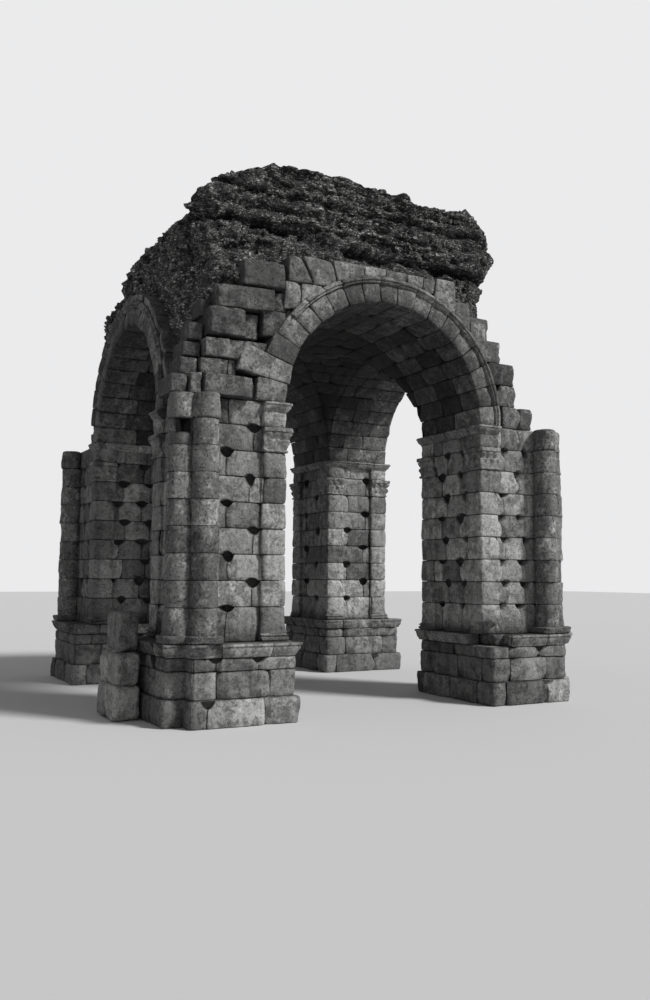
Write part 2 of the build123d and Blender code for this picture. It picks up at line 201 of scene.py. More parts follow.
class RubbleSizes(bpy.types.PropertyGroup):
    """Sizes of the bare rubble core."""

    layer: bpy.props.FloatProperty(
        name="Layer", description="Height of one layer of rubble", default=0.095, min=0.02, unit="LENGTH"
    )
    lump: bpy.props.FloatProperty(
        name="Lump", description="Length of one lump in a layer", default=0.15, min=0.02, unit="LENGTH"
    )
    relief: bpy.props.FloatProperty(
        name="Relief", description="Depth of the broad hollows in the core's face", default=0.05,
        unit="LENGTH",
    )
    stones: bpy.props.IntProperty(
        name="Stones", description="Number of loose stones in the core's skin", default=1500, min=0
    )


class Finishes(bpy.types.PropertyGroup):
    """Colours of the stone finishes."""

    squared: bpy.props.FloatVectorProperty(
        name="Squared stone", description="Colour of the squared granite", default=(0.3, 0.3, 0.295),
        subtype="COLOR", min=0.0, max=1.0,
    )
    moulded: bpy.props.FloatVectorProperty(
        name="Moulded stone", description="Colour of the moulded courses", default=(0.28, 0.28, 0.275),
        subtype="COLOR", min=0.0, max=1.0,
    )
    arch: bpy.props.FloatVectorProperty(
        name="Arch stone", description="Colour of the arch rings and the vault", default=(0.28, 0.28, 0.275),
        subtype="COLOR", min=0.0, max=1.0,
    )
    rubble: bpy.props.FloatVectorProperty(
        name="Rubble", description="Colour of the mortared core", default=(0.15, 0.15, 0.147),
        subtype="COLOR", min=0.0, max=1.0,
    )


class StageLook(bpy.types.PropertyGroup):
    """Floor, background and light."""

    floor: bpy.props.FloatVectorProperty(
        name="Floor", description="Colour of the floor", default=(0.55, 0.55, 0.55),
        subtype="COLOR", min=0.0, max=1.0,
    )
    background: bpy.props.FloatVectorProperty(
        name="Background", description="Colour behind the arch", default=(0.83, 0.83, 0.84),
        subtype="COLOR", min=0.0, max=1.0,
    )
    sun: bpy.props.FloatProperty(
        name="Sun", description="Strength of the soft main light", default=3.4, min=0.0
    )
    fill: bpy.props.FloatProperty(
        name="Fill", description="Strength of the light from all sides", default=0.26, min=0.0
    )


# Smooth noise


def waves(seed, length, count=16):
    """Plane waves of about one length in metres, as wave vectors and phases."""
    rng = np.random.default_rng(seed)
    direction = rng.normal(size=(3, count))
    direction /= np.linalg.norm(direction, axis=0)
    lengths = length * rng.uniform(0.7, 1.5, count)
    return direction * (2 * math.pi / lengths), rng.uniform(0, 2 * math.pi, count)


def ripple(points, wave):
    """Noise of about -1 to 1: the waves' sines at each point, added, over the root of their number."""
    vectors, phases = wave
    return np.sin(points @ vectors + phases).sum(-1) / math.sqrt(phases.size)


BROAD = waves(11, 0.75)
LUMP = waves(12, 0.26)
FINE = waves(13, 0.1)
SWELL_BROAD = waves(21, 1.7)
SWELL_FINE = waves(22, 0.6)


def cell_hash(row, cell, seed):
    """Even random number of a cell: the broken part of a large sine."""
    value = np.sin(row * 12.9898 + cell * 78.233 + seed) * 43758.5453
    return value - np.floor(value)


# Curves


def smooth(value, low, high):
    """Smooth step: 3t^2 - 2t^3 of the share t of the way from low to high."""
    t = np.clip((value - low) / (high - low), 0, 1)
    return t * t * (3 - 2 * t)


def drop(distance, radius):
    """How far a rounded edge falls at a distance from it: a quarter circle of that radius."""
    inside = np.clip(1 - distance / radius, 0, 1)
    return radius * (1 - np.sqrt(1 - inside**2))


def table(rows, at):
    """Value at a place between the rows (place, value) of a table."""
    return np.interp(at, [row[0] for row in rows], [row[1] for row in rows])


# Plan paths


def at_height(plan, z):
    """Plan points raised to a height, or each to its own."""
    return np.concatenate([plan, np.broadcast_to(np.asarray(z)[..., None], plan.shape[:-1] + (1,))], -1)


class Path:
    """Plan path whose offsets are mitred, so that every face stays parallel to itself."""

    def __init__(self, points, closed=False):
        points = np.array(points, float)
        if closed:
            points = np.vstack([points, points[:1]])
        steps = np.diff(points, axis=0)
        lengths = np.linalg.norm(steps, axis=1)
        normals = np.stack([steps[:, 1], -steps[:, 0]], 1) / lengths[:, None]
        before = np.vstack([normals[-1:] if closed else normals[:1], normals])
        after = np.vstack([normals, normals[:1] if closed else normals[-1:]])
        turn = before[:, 0] * after[:, 1] - before[:, 1] * after[:, 0]
        self.points = points
        self.mitres = (before + after) / (1 + (before * after).sum(1))[:, None]
        self.at = np.concatenate([[0], np.cumsum(lengths)])
        self.total = self.at[-1]
        self.closed = closed
        laps = (0, self.total) if closed else (0,)
        self.corners = [float(s + lap) for lap in laps for s, t in zip(self.at, turn) if abs(t) > 0.1]
        self.arrises = [float(s + lap) for lap in laps for s, t in zip(self.at, turn) if t > 0.1]

    def offset(self, s, d):
        """Point at length s moved out by d: both ends of its span moved along their mitres, then mixed."""
        s = np.mod(s, self.total) if self.closed else s
        i = np.clip(np.searchsorted(self.at, s, side="right") - 1, 0, len(self.at) - 2)
        share = ((s - self.at[i]) / (self.at[i + 1] - self.at[i]))[..., None]
        d = np.asarray(d)[..., None]
        start = self.points[i] + d * self.mitres[i]
        end = self.points[i + 1] + d * self.mitres[i + 1]
        return start + share * (end - start)

    def place(self, s, z, d):
        """Point on the upright wall that stands on the path."""
        return at_height(self.offset(s, d), z)

    def ripple(self, s, z, wave):
        """Noise at a place on the wall itself."""
        return ripple(self.place(s, z, np.zeros_like(s)), wave)

    def nearest(self, point):
        """Length along the path of the place on it that is nearest to a plan point."""
        start, span = self.points[:-1], np.diff(self.points, axis=0)
        share = np.clip(((point - start) * span).sum(1) / (span**2).sum(1), 0, 1)
        k = np.linalg.norm(start + share[:, None] * span - point, axis=1).argmin()
        return float(self.at[k] + share[k] * (self.at[k + 1] - self.at[k]))


def away_along(path, s, middle):
    """Distance along a closed path to a place on it, the shorter way round."""
    half = path.total / 2
    return np.abs(np.mod(s - middle + half, path.total) - half)


def on_pier(x, y, signs):
    """Plan point given for the rear right pier, as it stands on another pier."""
    return np.array([x * signs[0], y * signs[1]])


def plan_path(points, signs, closed=False):
    """Path made for the rear right pier, set on another pier with its outside still on the right."""
    points = [on_pier(x, y, signs) for x, y in points]
    if signs[0] * signs[1] < 0:
        points = points[::-1]
    return Path(points, closed)


# Meshes


class Heap:
    """Stones gathered into one mesh, with three values at each point that the finishes read.

    tone is the stone's own lightness, edge runs to 1 at worn edges, and shade to 1 deep in a joint.
    """

    def __init__(self):
        self.points, self.values, self.loops, self.sizes = [], [], [], []
        self.count = 0

    def add(self, points, values, faces, caps=()):
        """Add points, their (tone, edge, shade) rows, faces of four corners, and faces of many."""
        self.points.append(points.reshape(-1, 3))
        self.values.append(values.reshape(-1, 3))
        self.loops.append(np.concatenate([faces.ravel(), *caps]) + self.count)
        self.sizes.append(np.array([4] * len(faces) + [len(cap) for cap in caps]))
        self.count += len(self.points[-1])

    def add_tube(self, rings, tone, edge, shade):
        """Join rings of points one to the next, anticlockwise seen from the last one, and cap both ends."""
        index = np.arange(math.prod(rings.shape[:2])).reshape(rings.shape[:2])
        low, high = index[:-1], index[1:]
        faces = np.stack([low, np.roll(low, -1, 1), np.roll(high, -1, 1), high], -1).reshape(-1, 4)
        values = np.stack(np.broadcast_arrays(tone, edge, shade, np.zeros(rings.shape[:2]))[:3], -1)
        self.add(rings, values, faces, (index[0, ::-1], index[-1]))

    def piece(self, name, finish, slot, *nodes, rounded=True):
        """Make the mesh, ride it on the structure and let it stand for its nodes."""
        points = np.clip(np.concatenate(self.points), *np.array(CAD_BOX))
        values = np.concatenate(self.values)
        loops = np.concatenate(self.loops)
        sizes = np.concatenate(self.sizes)
        mesh = bpy.data.meshes.new(name)
        mesh.vertices.add(len(points))
        mesh.vertices.foreach_set("co", points.astype(np.float32).ravel())
        mesh.loops.add(loops.size)
        mesh.loops.foreach_set("vertex_index", loops.astype(np.int32))
        mesh.polygons.add(sizes.size)
        mesh.polygons.foreach_set("loop_start", np.concatenate([[0], np.cumsum(sizes)[:-1]]).astype(np.int32))
        mesh.polygons.foreach_set("use_smooth", (sizes == 4) & rounded)
        for column, title in enumerate(VALUES):
            attribute = mesh.attributes.new(title, "FLOAT", "POINT")
            attribute.data.foreach_set("value", values[:, column].astype(np.float32))
        mesh.update(calc_edges=True)
        mesh.validate()
        mesh.materials.append(bpy.data.materials[finish])
        piece = bpy.data.objects.new(name, mesh)
        bpy.context.scene.collection.objects.link(piece)
        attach(piece, "root")
        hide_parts(*nodes)


def border(grid):
    """The outer ring of a grid, anticlockwise from its first corner."""
    return np.concatenate([grid[0, :-1], grid[:-1, -1], grid[-1, :0:-1], grid[:0:-1, 0]])


def grid_lines(low, high, step, edge, fixed=()):
    """Lines from low to high: even steps, close ones at both ends, and one on and beside each fixed value."""
    inside = np.array([f for f in fixed if low + edge / 2 < f < high - edge / 2])
    kept = np.concatenate([[low, low + edge * 0.3, high - edge * 0.3, high], inside])
    even = np.linspace(low + edge, high - edge, max(2, round((high - low) / step)))
    more = np.unique(np.round(np.concatenate([even, inside - edge, inside + edge]), 3))
    more = more[(more > low) & (more < high)]
    far = np.abs(more[:, None] - kept[None]).min(1) > edge * 0.4
    return np.unique(np.concatenate([kept, more[far]]))


def grid_faces(shape):
    """Numbers of a grid's points, and the faces of four corners between them."""
    index = np.arange(math.prod(shape)).reshape(shape)
    corners = (index[:-1, :-1], index[:-1, 1:], index[1:, 1:], index[1:, :-1])
    return index, np.stack(corners, -1).reshape(-1, 4)


def closed_sheet(shape):
    """Faces of a grid and a wall from its border back to a ring, the ring's cap, and the border."""
    index, faces = grid_faces(shape)
    rim = border(index)
    ring = index.size + np.arange(rim.size)
    wall = np.stack([np.roll(rim, -1), rim, ring, np.roll(ring, -1)], 1)
    return np.vstack([faces, wall]), ring[::-1], rim


def faces_outwards(front, outward):
    """Faces and back cap of a stone whose front is a grid of points, turned to face outwards."""
    faces, cap, _ = closed_sheet(front.shape[:2])
    row, column = front.shape[0] // 2, front.shape[1] // 2
    run = front[row, column + 1] - front[row, column]
    climb = front[row + 1, column] - front[row, column]
    if np.dot(np.cross(run, climb), outward[row, column]) < 0:
        faces, cap = faces[:, ::-1], cap[::-1]
    return faces, cap


# Stones, fill and blocks


def pocket_cut(s, pockets):
    """Height cut from an edge: for each (middle, half width, height) a bowl 1 - t^2.2, the highest counts."""
    cut = np.zeros_like(s)
    for middle, half, height in pockets:
        away = np.clip(np.abs(s - middle) / half, 0, 1)
        cut = np.maximum(cut, height * (1 - away**2.2))
    return cut


def face_stone(heap, place, span, rise, rng, sizes, path=None, back=None, top=(), foot=(), profile=None,
               relief=None, wear=1.0, rough=1.0, sunk=0.0, tone=None, grid=None, shade=0.0, foot_darkening=0.0,
               damp=LEFT_PAINTED_SHADE):
    """One stone laid on the surface place(s, w, d), with s along, w up and d outwards.

    Its depth is the profile's reach, less a quarter circle at the edges, less a bell-shaped chip at each
    corner and each arris, plus smooth noise. Pockets lower its top edge and raise its foot. Faces turned
    to the damp left side and soffits are dark, in proportion to how far they face that way.
    """
    gap = sizes.joint / 2
    (s0, s1), (w0, w1) = (span[0] + gap, span[1] - gap), (rise[0] + gap, rise[1] - gap)
    length, height = s1 - s0, w1 - w0
    wear = wear * sizes.wear
    edge = min(sizes.rounding * rng.uniform(0.75, 1.5), height / 5, length / 5)
    back = sizes.depth if back is None else back
    grid = grid or sizes.grid
    marks = [middle + k * half for middle, half, _ in (*top, *foot) for k in POCKET_MARKS]
    marks += path.corners if path else []
    levels = [level for level, _ in profile or ()]
    s, w = np.meshgrid(grid_lines(s0, s1, grid, edge, marks), grid_lines(w0, w1, grid, edge, levels))
    share = (w - w0) / height
    low, high = w0 + pocket_cut(s, foot), w1 - pocket_cut(s, top)
    w = low + share * (high - low)
    across, up = 2 * (s - s0) / length - 1, 2 * share - 1
    pull = min(wear * rng.uniform(0.002, 0.012), height / 12, length / 12)

    def inset(s, w):
        return np.minimum(np.minimum(s - s0, s1 - s), np.minimum(w - low, high - w))

    depth = -drop(np.minimum(s - s0, s1 - s), edge) - drop(np.minimum(w - low, high - w), edge)
    own = place(s, w, np.zeros_like(s)) + rng.uniform(-NOISE_SHIFT, NOISE_SHIFT, 3)
    lump, fine = ripple(own, LUMP), ripple(own, FINE)
    depth += wear * (BROAD_RELIEF * ripple(own, BROAD) + rough * (LUMP_RELIEF * lump + FINE_RELIEF * fine))
    ragged = np.exp(-inset(s, w) / RAGGED_REACH)
    depth -= wear * EDGE_LOSS * ragged * np.clip(0.3 + fine + lump, 0, 2)
    for x in (-1, 1):
        for y in (-1, 1):
            size = rng.uniform(0.04, 0.15)
            far = ((across - x) * length / 2) ** 2 + ((up - y) * height / 2) ** 2
            chip = rng.uniform(0, DEEPEST_CHIP) * np.exp(-far / size**2) * (rng.random() < CHIPPED_SHARE)
            depth -= wear * chip
    near = np.full_like(s, FAR)
    for arris in path.arrises if path else ():
        near = np.minimum(near, np.abs(s - arris))
    depth -= wear * (EDGE_LOSS + 0.008 * lump) * np.exp(-((near / edge) ** 2))
    depth += sunk + wear * rng.normal(0, 0.003) * across
    if profile is not None:
        depth += np.interp(w, levels, [reach for _, reach in profile])
    if relief is not None:
        depth += relief(s, w)
    s = s - pull * across**5 * np.abs(up) ** 6
    w = w - pull * up * across**6
    front = place(s, w, depth)
    outward = (front - place(s, w, depth - 0.05)) / 0.05
    rim_s, rim_w = border(s), border(w)
    rear = place(rim_s, rim_w, np.full_like(rim_s, -back))
    faces, cap = faces_outwards(front, outward)

    tone = np.clip(rng.normal(0.5, 0.28), 0, 1) if tone is None else tone
    worn = np.clip(1 - np.minimum(inset(s, w), near) / (2 * edge), 0, 1)
    # Painted shade on faces that look left or down, by how far they face that way
    damp = damp * np.clip(-outward[..., 0], 0, 1) + SOFFIT_PAINTED_SHADE * np.clip(-outward[..., 2], 0, 1)
    beside_joint = np.clip(1 - inset(s, w) / (0.8 * edge), 0, 1)
    dark = shade + damp + foot_darkening * np.exp(-(w - w0) / FOOT_DARK_HEIGHT) + 0.4 * beside_joint
    values = np.stack([np.full(s.size, tone), worn.ravel(), np.clip(dark, 0, DARKEST).ravel()], 1)
    # The stone's sides and back carry full painted shade, deep in the joints
    values = np.vstack([values, np.tile([tone, 0.0, 1.0], (len(rear), 1))])
    heap.add(np.vstack([front.reshape(-1, 3), rear]), values, faces, (cap,))


def fill_behind(heap, path, z0, z1, depth):
    """Fill behind open joints, dark but for its top: the path moved in by a depth and raised."""
    s = path.at[:-1]
    levels = (z0, z1 - FILL_RIM, z1)
    rings = np.stack([path.place(s, np.full_like(s, z), np.full_like(s, -depth)) for z in levels])
    heap.add_tube(rings, 0.4, 0.0, np.array(FILL_SHADES)[:, None])


def cube_lattice(cells):
    """Points and outward faces of a cube with each side divided into cells, every point held once."""
    steps = np.linspace(-1, 1, cells + 1)
    u, v = np.meshgrid(steps, steps)
    sides = []
    for axis in range(3):
        for sign in (-1, 1):
            side = np.empty(u.shape + (3,))
            side[..., axis] = sign
            side[..., (axis + 1) % 3] = u * sign
            side[..., (axis + 2) % 3] = v
            sides.append(side.reshape(-1, 3))
    _, quads = grid_faces(u.shape)
    faces = np.concatenate([quads + n * u.size for n in range(len(sides))])
    whole = np.round(np.concatenate(sides) * 1000).astype(int)
    points, inverse = np.unique(whole, axis=0, return_inverse=True)
    return points / 1000, inverse.ravel()[faces]


def rounded_cube(cells, power):
    """Cube drawn in so that its points' power norm is 1, rounder as the power falls, and its faces."""
    points, faces = cube_lattice(cells)
    return points / (np.abs(points) ** power).sum(1, keepdims=True) ** (1 / power), faces


def turned(yaw, pitch, roll):
    """Rotation matrices about Z, then Y, then X, for arrays of angles."""
    cy, sy = np.cos(yaw), np.sin(yaw)
    cp, sp = np.cos(pitch), np.sin(pitch)
    cr, sr = np.cos(roll), np.sin(roll)
    return np.stack([
        np.stack([cy * cp, cy * sp * sr - sy * cr, cy * sp * cr + sy * sr], -1),
        np.stack([sy * cp, sy * sp * sr + cy * cr, sy * sp * cr - cy * sr], -1),
        np.stack([-sp, cp * sr, cp * cr], -1),
    ], -2)


def add_blocks(heap, centres, halves, yaw, rng, cells=2, power=5.0, rough=0.1, tilt=0.08, tone=None,
               shade=0.1):
    """Worn blocks: rounded cubes swollen by noise, stretched to their half sizes, turned and placed."""
    centres, halves = np.atleast_2d(centres), np.atleast_2d(halves)
    count = len(centres)
    body, faces = rounded_cube(cells, power)
    own = body[None] + rng.uniform(-NOISE_SHIFT, NOISE_SHIFT, (count, 1, 3))
    swell = 1 + rough * ripple(own, SWELL_BROAD) + rough * 0.35 * ripple(own, SWELL_FINE)
    local = body[None] * swell[..., None] * halves[:, None]
    angles = rng.normal(0, tilt, (2, count))
    frames = turned(np.broadcast_to(yaw, count), angles[0], angles[1])
    shape = np.einsum("nij,nkj->nki", frames, local) + centres[:, None]
    tone = np.clip(rng.normal(0.5, 0.2, count), 0, 1) if tone is None else np.broadcast_to(tone, count)
    sharp = np.clip((np.linalg.norm(body, axis=1) - 1.05) * 2.5, 0, 1)
    values = np.stack(np.broadcast_arrays(tone[:, None], sharp[None], np.full((1, 1), shade)), -1)
    faces = (faces[None] + (np.arange(count) * len(body))[:, None, None]).reshape(-1, 4)
    heap.add(shape, values, faces)


# Pieces of a pier


def random_for(sizes, *names):
    """Random draws of a piece, from the seed and the piece's own name."""
    return np.random.default_rng([sizes.seed] + [ord(letter) for name in names for letter in name])


def plinth_outline(grow=0.0):
    """Plan of the rear right plinth, anticlockwise."""
    jamb, near, far = RADIUS - PLINTH_JAMB - grow, PLINTH_CORNER + grow, PLINTH_FRONT + grow
    return [
        (jamb, jamb), (HALF_X + far, jamb), (HALF_X + far, HALF_Y + near), (HALF_X + near, HALF_Y + near),
        (HALF_X + near, HALF_Y + far), (jamb, HALF_Y + far),
    ]


def wall_outline():
    """Plan of the rear right shaft, anticlockwise: pilasters at three corners, recessed wall between."""
    a, x, y, p, r = RADIUS, HALF_X, HALF_Y, PILASTER, RECESS
    return [
        (a, a), (a + p, a), (a + p, a + r), (x - p, a + r), (x - p, a), (x, a), (x, a + p), (x - r, a + p),
        (x - r, y - r), (a + p, y - r), (a + p, y), (a, y), (a, y - p), (a + r, y - p), (a + r, a + p),
        (a, a + p),
    ]


def pilaster_paths(signs):
    """Paths round the open sides of the three pilasters of a pier."""
    a, x, y, p = RADIUS, HALF_X, HALF_Y, PILASTER
    return [
        plan_path([(a, a + p), (a, a), (a + p, a)], signs),
        plan_path([(a + p, y), (a, y), (a, y - p)], signs),
        plan_path([(x - p, a), (x, a), (x, a + p)], signs),
    ]


def course_cuts(path, points, signs, rng):
    """Head joints of one course: the places on the path nearest to points given for the rear right pier."""
    cuts = []
    for x, y in points:
        cut = path.nearest(on_pier(x, y, signs)) + rng.uniform(-0.05, 0.05)
        snap = [c for c in path.corners if abs(c - cut) < 0.09]
        cuts.append((snap[0] if snap else cut) % path.total)
    return sorted(set(cuts))


def side_cuts(start, end, count, shift, spread, rng):
    """Head joints spread evenly along one side of a path, each moved a little by chance."""
    return [start + (k + shift + rng.uniform(-spread, spread)) * (end - start) / count for k in range(count)]


def free_cuts(path, shortest, longest, last, clear, rng):
    """Head joints at random steps along an open path, none of them near a corner."""
    cuts = [0.0]
    while path.total - cuts[-1] > last:
        cuts.append(cuts[-1] + rng.uniform(shortest, longest))
    return [c for c in cuts if all(abs(c - k) > clear for k in path.corners)] + [path.total]


def lay_course(heap, path, cuts, rise, rng, sizes, pockets=0.0, robbed=None, below=(), **way):
    """Stones between the cuts of one course, with a robbed clamp hole at the top of some head joints.

    Holes are made only near the robbed places, if any are given. A hole of the course below also eats
    into the foot of the stone over it. The course's own holes are given back, for the next one.
    """
    laps = cuts + [cuts[0] + path.total] if path.closed else cuts
    turns = (0.0, path.total) if path.closed else (0.0,)
    holes = []
    for cut in cuts:
        near = robbed is None or min(abs(cut - place) for place in robbed) < 0.12
        if rng.random() < pockets and near:
            size = rng.uniform(0.75, 1.1), rng.uniform(0.6, 1.3)
            holes.append((cut, sizes.pocket_width * size[0], sizes.pocket_height * size[1]))
    for start, end in zip(laps, laps[1:]):
        top = [(m + turn, half, high) for m, half, high in holes for turn in turns
               if start - 0.01 < m + turn < end + 0.01]
        foot = [(m + turn, half * 0.85, high * 0.4) for m, half, high in below for turn in turns
                if start + half < m + turn < end - half]
        face_stone(heap, path.place, (start, end), rise, rng, sizes, path=path, top=top, foot=foot, **way)
    return holes


def shaft_joints(odd, twice, rng):
    """Plan points of the head joints of a shaft course, for the rear right pier.

    They are one or two on each side, followed by the two behind the columns, as robbed joints, and the
    joints beside the pilasters, which are whole.
    """
    a, x, y, p, r = RADIUS, HALF_X, HALF_Y, PILASTER, RECESS
    one, two, three, four = (1.12, 1.32, 1.38, 1.16) if odd else (0.68, 0.78, 0.76, 0.66)
    joints = [(a + one, y - r), (x - r, a + two), (a + r, a + three), (a + four, a + r)]
    if twice:
        shift = 0.14 if odd else 0.0
        joints = [(a + 0.56 + shift, y - r), (a + 1.1 + shift, y - r), (x - r, a + 0.72 + shift),
                  (x - r, a + 1.32 + shift), (a + r, a + 0.72 + shift), (a + r, a + 1.32 + shift),
                  (a + 0.56 + shift, a + r), (a + 1.1 + shift, a + r)]
    joints += [(x - 0.22, y - r), (x - r, y - 0.13)]
    pilasters = [(a + p, y), (x, a + p), (a, y - p), (a, a + p), (a + p, a), (x - p, a)]
    return joints, [point for point in pilasters if rng.random() < 0.45]


def build_shaft(name, signs, sizes):
    """Shaft of one pier: courses of quoins and facing stones, every second course cut elsewhere.

    The foot spreads as exp(-height / 0.1). On the broken pier it is cut back near one arris, under a ragged
    lip, by a bell curve of the distance along the path.
    """
    rng = random_for(sizes, "shaft", name)
    heap = Heap()
    path = plan_path(wall_outline(), signs, closed=True)
    is_broken = name == BROKEN_PIER
    arris = path.nearest(on_pier(RADIUS, HALF_Y, signs))

    def foot(s, w):
        out = 0.045 * np.exp(-(w - PLINTH_TOP) / 0.1)
        if is_broken:
            lip = PLINTH_TOP + 0.2 + 0.06 * path.ripple(s, w, LUMP)
            out = out - FOOT_BREAK * np.exp(-((away_along(path, s, arris) / 0.4) ** 2)) * (w < lip)
        return out

    foot_course = {"relief": foot, "back": FOOT_DEPTH, "foot_darkening": 1.1, "grid": 0.04 if is_broken else None}
    below = ()
    for n, rise in enumerate(zip(SHAFT_LEVELS, SHAFT_LEVELS[1:])):
        joints, whole = shaft_joints((n + (name == "front_left")) % 2, name in SMALL_STONED, rng)
        cuts = course_cuts(path, joints + whole, signs, rng)
        robbed = [path.nearest(on_pier(x, y, signs)) for x, y in joints]
        shade = SHADES[name] + (0.2 if n >= DARK_COURSE else 0.0)
        # Faces that look left get painted shade, less of it on the broken pier
        below = lay_course(heap, path, cuts, rise, rng, sizes, robbed=robbed, below=below, shade=shade,
                           pockets=0.0 if n >= WHOLE_COURSE else POCKET_SHARE,
                           damp=0.1 if is_broken else LEFT_PAINTED_SHADE, **(foot_course if n == 0 else {}))
    fill_foot = PLINTH_TOP + 0.01
    if is_broken:
        fill_behind(heap, path, fill_foot, SHAFT_LEVELS[1], FOOT_DEPTH)
        fill_foot = SHAFT_LEVELS[1] - 0.02
    fill_behind(heap, path, fill_foot, SPRING - 0.06, sizes.gap_depth)
    heap.piece("shaft_stones_" + name, "squared_granite", "squared_stone", "pier_" + name)


def build_plinth(name, signs, sizes):
    """Plinth of one pier: a footing course that stands out and two courses over it."""
    rng = random_for(sizes, "plinth", name)
    heap = Heap()
    levels = (0.0, COURSE, 2 * COURSE, CAP_LOW.z)
    for n, rise in enumerate(zip(levels, levels[1:])):
        path = plan_path(plinth_outline(FOOTING_STEP if n == 0 else 0.0), signs, closed=True)
        cuts = []
        for start, end in zip(path.at, path.at[1:]):
            cuts += side_cuts(start, end, round((end - start) / 0.95), 0.5 if n % 2 else 0.35, 0.1, rng)
        cuts = [c for c in cuts if min(abs(c - k) for k in path.corners) > 0.12]
        lay_course(heap, path, cuts, rise, rng, sizes, pockets=0.25, wear=1.4, sunk=-0.01, shade=0.28)
        fill_behind(heap, path, rise[0] + 0.005, rise[1], sizes.gap_depth)
    heap.piece("plinth_stones_" + name, "squared_granite", "squared_stone", "plinth_" + name)


def cap_profile(z0, reach, height):
    """Fillet, ovolo, drip and upright face of a cap or impost, as (height, reach) from the foot up."""
    face, drip, fillet = 0.05, 0.018, 0.026
    turns = np.linspace(0, 1, 6)
    low, high = fillet, height - face
    ovolo = [
        (z0 + low + (high - low) * t, fillet + (reach - drip - fillet) * math.sin(t * math.pi / 2) ** 0.9)
        for t in turns
    ]
    return [(z0, fillet), *ovolo, (z0 + high + 0.003, reach), (z0 + height, reach)]


def build_plinth_cap(name, signs, sizes):
    """Moulded cap of one plinth, broken away in places.

    A break cuts the moulding back to a rough face behind the plinth's own, with smooth ends.
    """
    rng = random_for(sizes, "cap", name)
    heap = Heap()
    path = plan_path(plinth_outline(), signs, closed=True)
    profile = cap_profile(CAP_LOW.z, CAP_REACH, PLINTH_TOP - CAP_LOW.z)
    levels, reaches = zip(*profile)
    cuts = []
    for start, end in zip(path.at, path.at[1:]):
        count = max(1, round((end - start) / 1.1)) if end - start > 0.6 else 0
        cuts += side_cuts(start, end, count, 0.5, 0.08, rng)
    breaks = [(rng.uniform(0, path.total), rng.uniform(0.12, 0.3)) for _ in range(5)]
    break_depth = 0.03
    if name == BROKEN_PIER:
        breaks.append((path.nearest(on_pier(RADIUS, HALF_Y, signs)) + 0.15, 0.62))
        break_depth = CAP_BREAK

    def broken(s, w):
        lost = np.zeros_like(s)
        for middle, half in breaks:
            lost = np.maximum(lost, smooth(half - away_along(path, s, middle), 0, 0.05))
        lump = path.ripple(s, w, LUMP)
        cut = break_depth + np.interp(w, levels, reaches)
        return -lost * (cut + 0.02 * lump) - (0.012 + 0.012 * lump)

    lay_course(heap, path, cuts, (CAP_LOW.z, PLINTH_TOP), rng, sizes, profile=profile, relief=broken,
               grid=0.06, back=0.45, wear=0.8, shade=0.12)
    fill_behind(heap, path, CAP_LOW.z, PLINTH_TOP - 0.012, 0.36)
    heap.piece("plinth_cap_stones_" + name, "moulded_granite", "moulded_stone", "plinth_cap_" + name)


def build_bases(name, signs, sizes):
    """Worn feet of the pilasters: square foot, torus and fillet. One is lost over the broken cap."""
    rng = random_for(sizes, "base", name)
    heap = Heap()
    foot, groove, reach = PLINTH_TOP + 0.06, PLINTH_TOP + 0.075, 0.06
    cove = [(groove + 0.025 + (BASE_HEIGHT - 0.1) * t, reach * 0.9 * (1 - t) ** 2.2)
            for t in np.linspace(0, 1, 7)]
    profile = [(PLINTH_TOP, reach), (foot, reach), (foot + 0.005, reach * 0.5), (groove, reach * 0.5), *cove]
    for number, path in enumerate(pilaster_paths(signs)):
        if name == BROKEN_PIER and number == 1:
            continue
        face_stone(heap, path.place, (0, path.total), (PLINTH_TOP, PLINTH_TOP + BASE_HEIGHT), rng, sizes,
                   path=path, profile=profile, grid=0.05, wear=0.9, sunk=-0.006, shade=0.15, foot_darkening=0.4)
    heap.piece("pilaster_base_stones_" + name, "moulded_granite", "moulded_stone", "pilaster_bases_" + name)


def leaves(s, w, low, high, total):
    """Two rows of worn leaves: raised cosine ribs that swell upwards, the upper row between the lower."""
    t = (w - low) / (high - low)
    u = s / total * 6
    lower = np.abs(np.cos(math.pi * u)) ** 0.7 * smooth(t, 0.12, 0.42) * (1 - smooth(t, 0.46, 0.52))
    upper = np.abs(np.sin(math.pi * u)) ** 0.7 * smooth(t, 0.4, 0.72) * (1 - smooth(t, 0.76, 0.81))
    vein = np.cos(math.pi * (6 * u + 5 * t)) + np.cos(math.pi * (6 * u - 5 * t))
    return 0.045 * lower + 0.05 * upper + 0.004 * vein * (lower + upper)


def build_capitals(name, signs, sizes):
    """Worn leaf capitals of the pilasters between an astragal and an abacus."""
    rng = random_for(sizes, "capital", name)
    heap = Heap()
    low, high = CAPITAL_LOW.z, CAPITAL_HIGH.z
    profile = [
        (low, 0.03), (low + 0.045, 0.03), (low + 0.05, 0.004), (low + 0.2, 0.006), (low + 0.3, 0.03),
        (high - 0.085, 0.055), (high - 0.08, 0.1), (high, 0.1),
    ]
    for path in pilaster_paths(signs):
        def carving(s, w, path=path):
            return leaves(s, w, low, high, path.total) - 0.008 + 0.008 * path.ripple(s, w, FINE)

        face_stone(heap, path.place, (0, path.total), (low, high), rng, sizes, path=path, profile=profile,
                   relief=carving, grid=0.022, wear=1.0)
    heap.piece("pilaster_capital_stones_" + name, "moulded_granite", "moulded_stone",
               "pilaster_capitals_" + name)


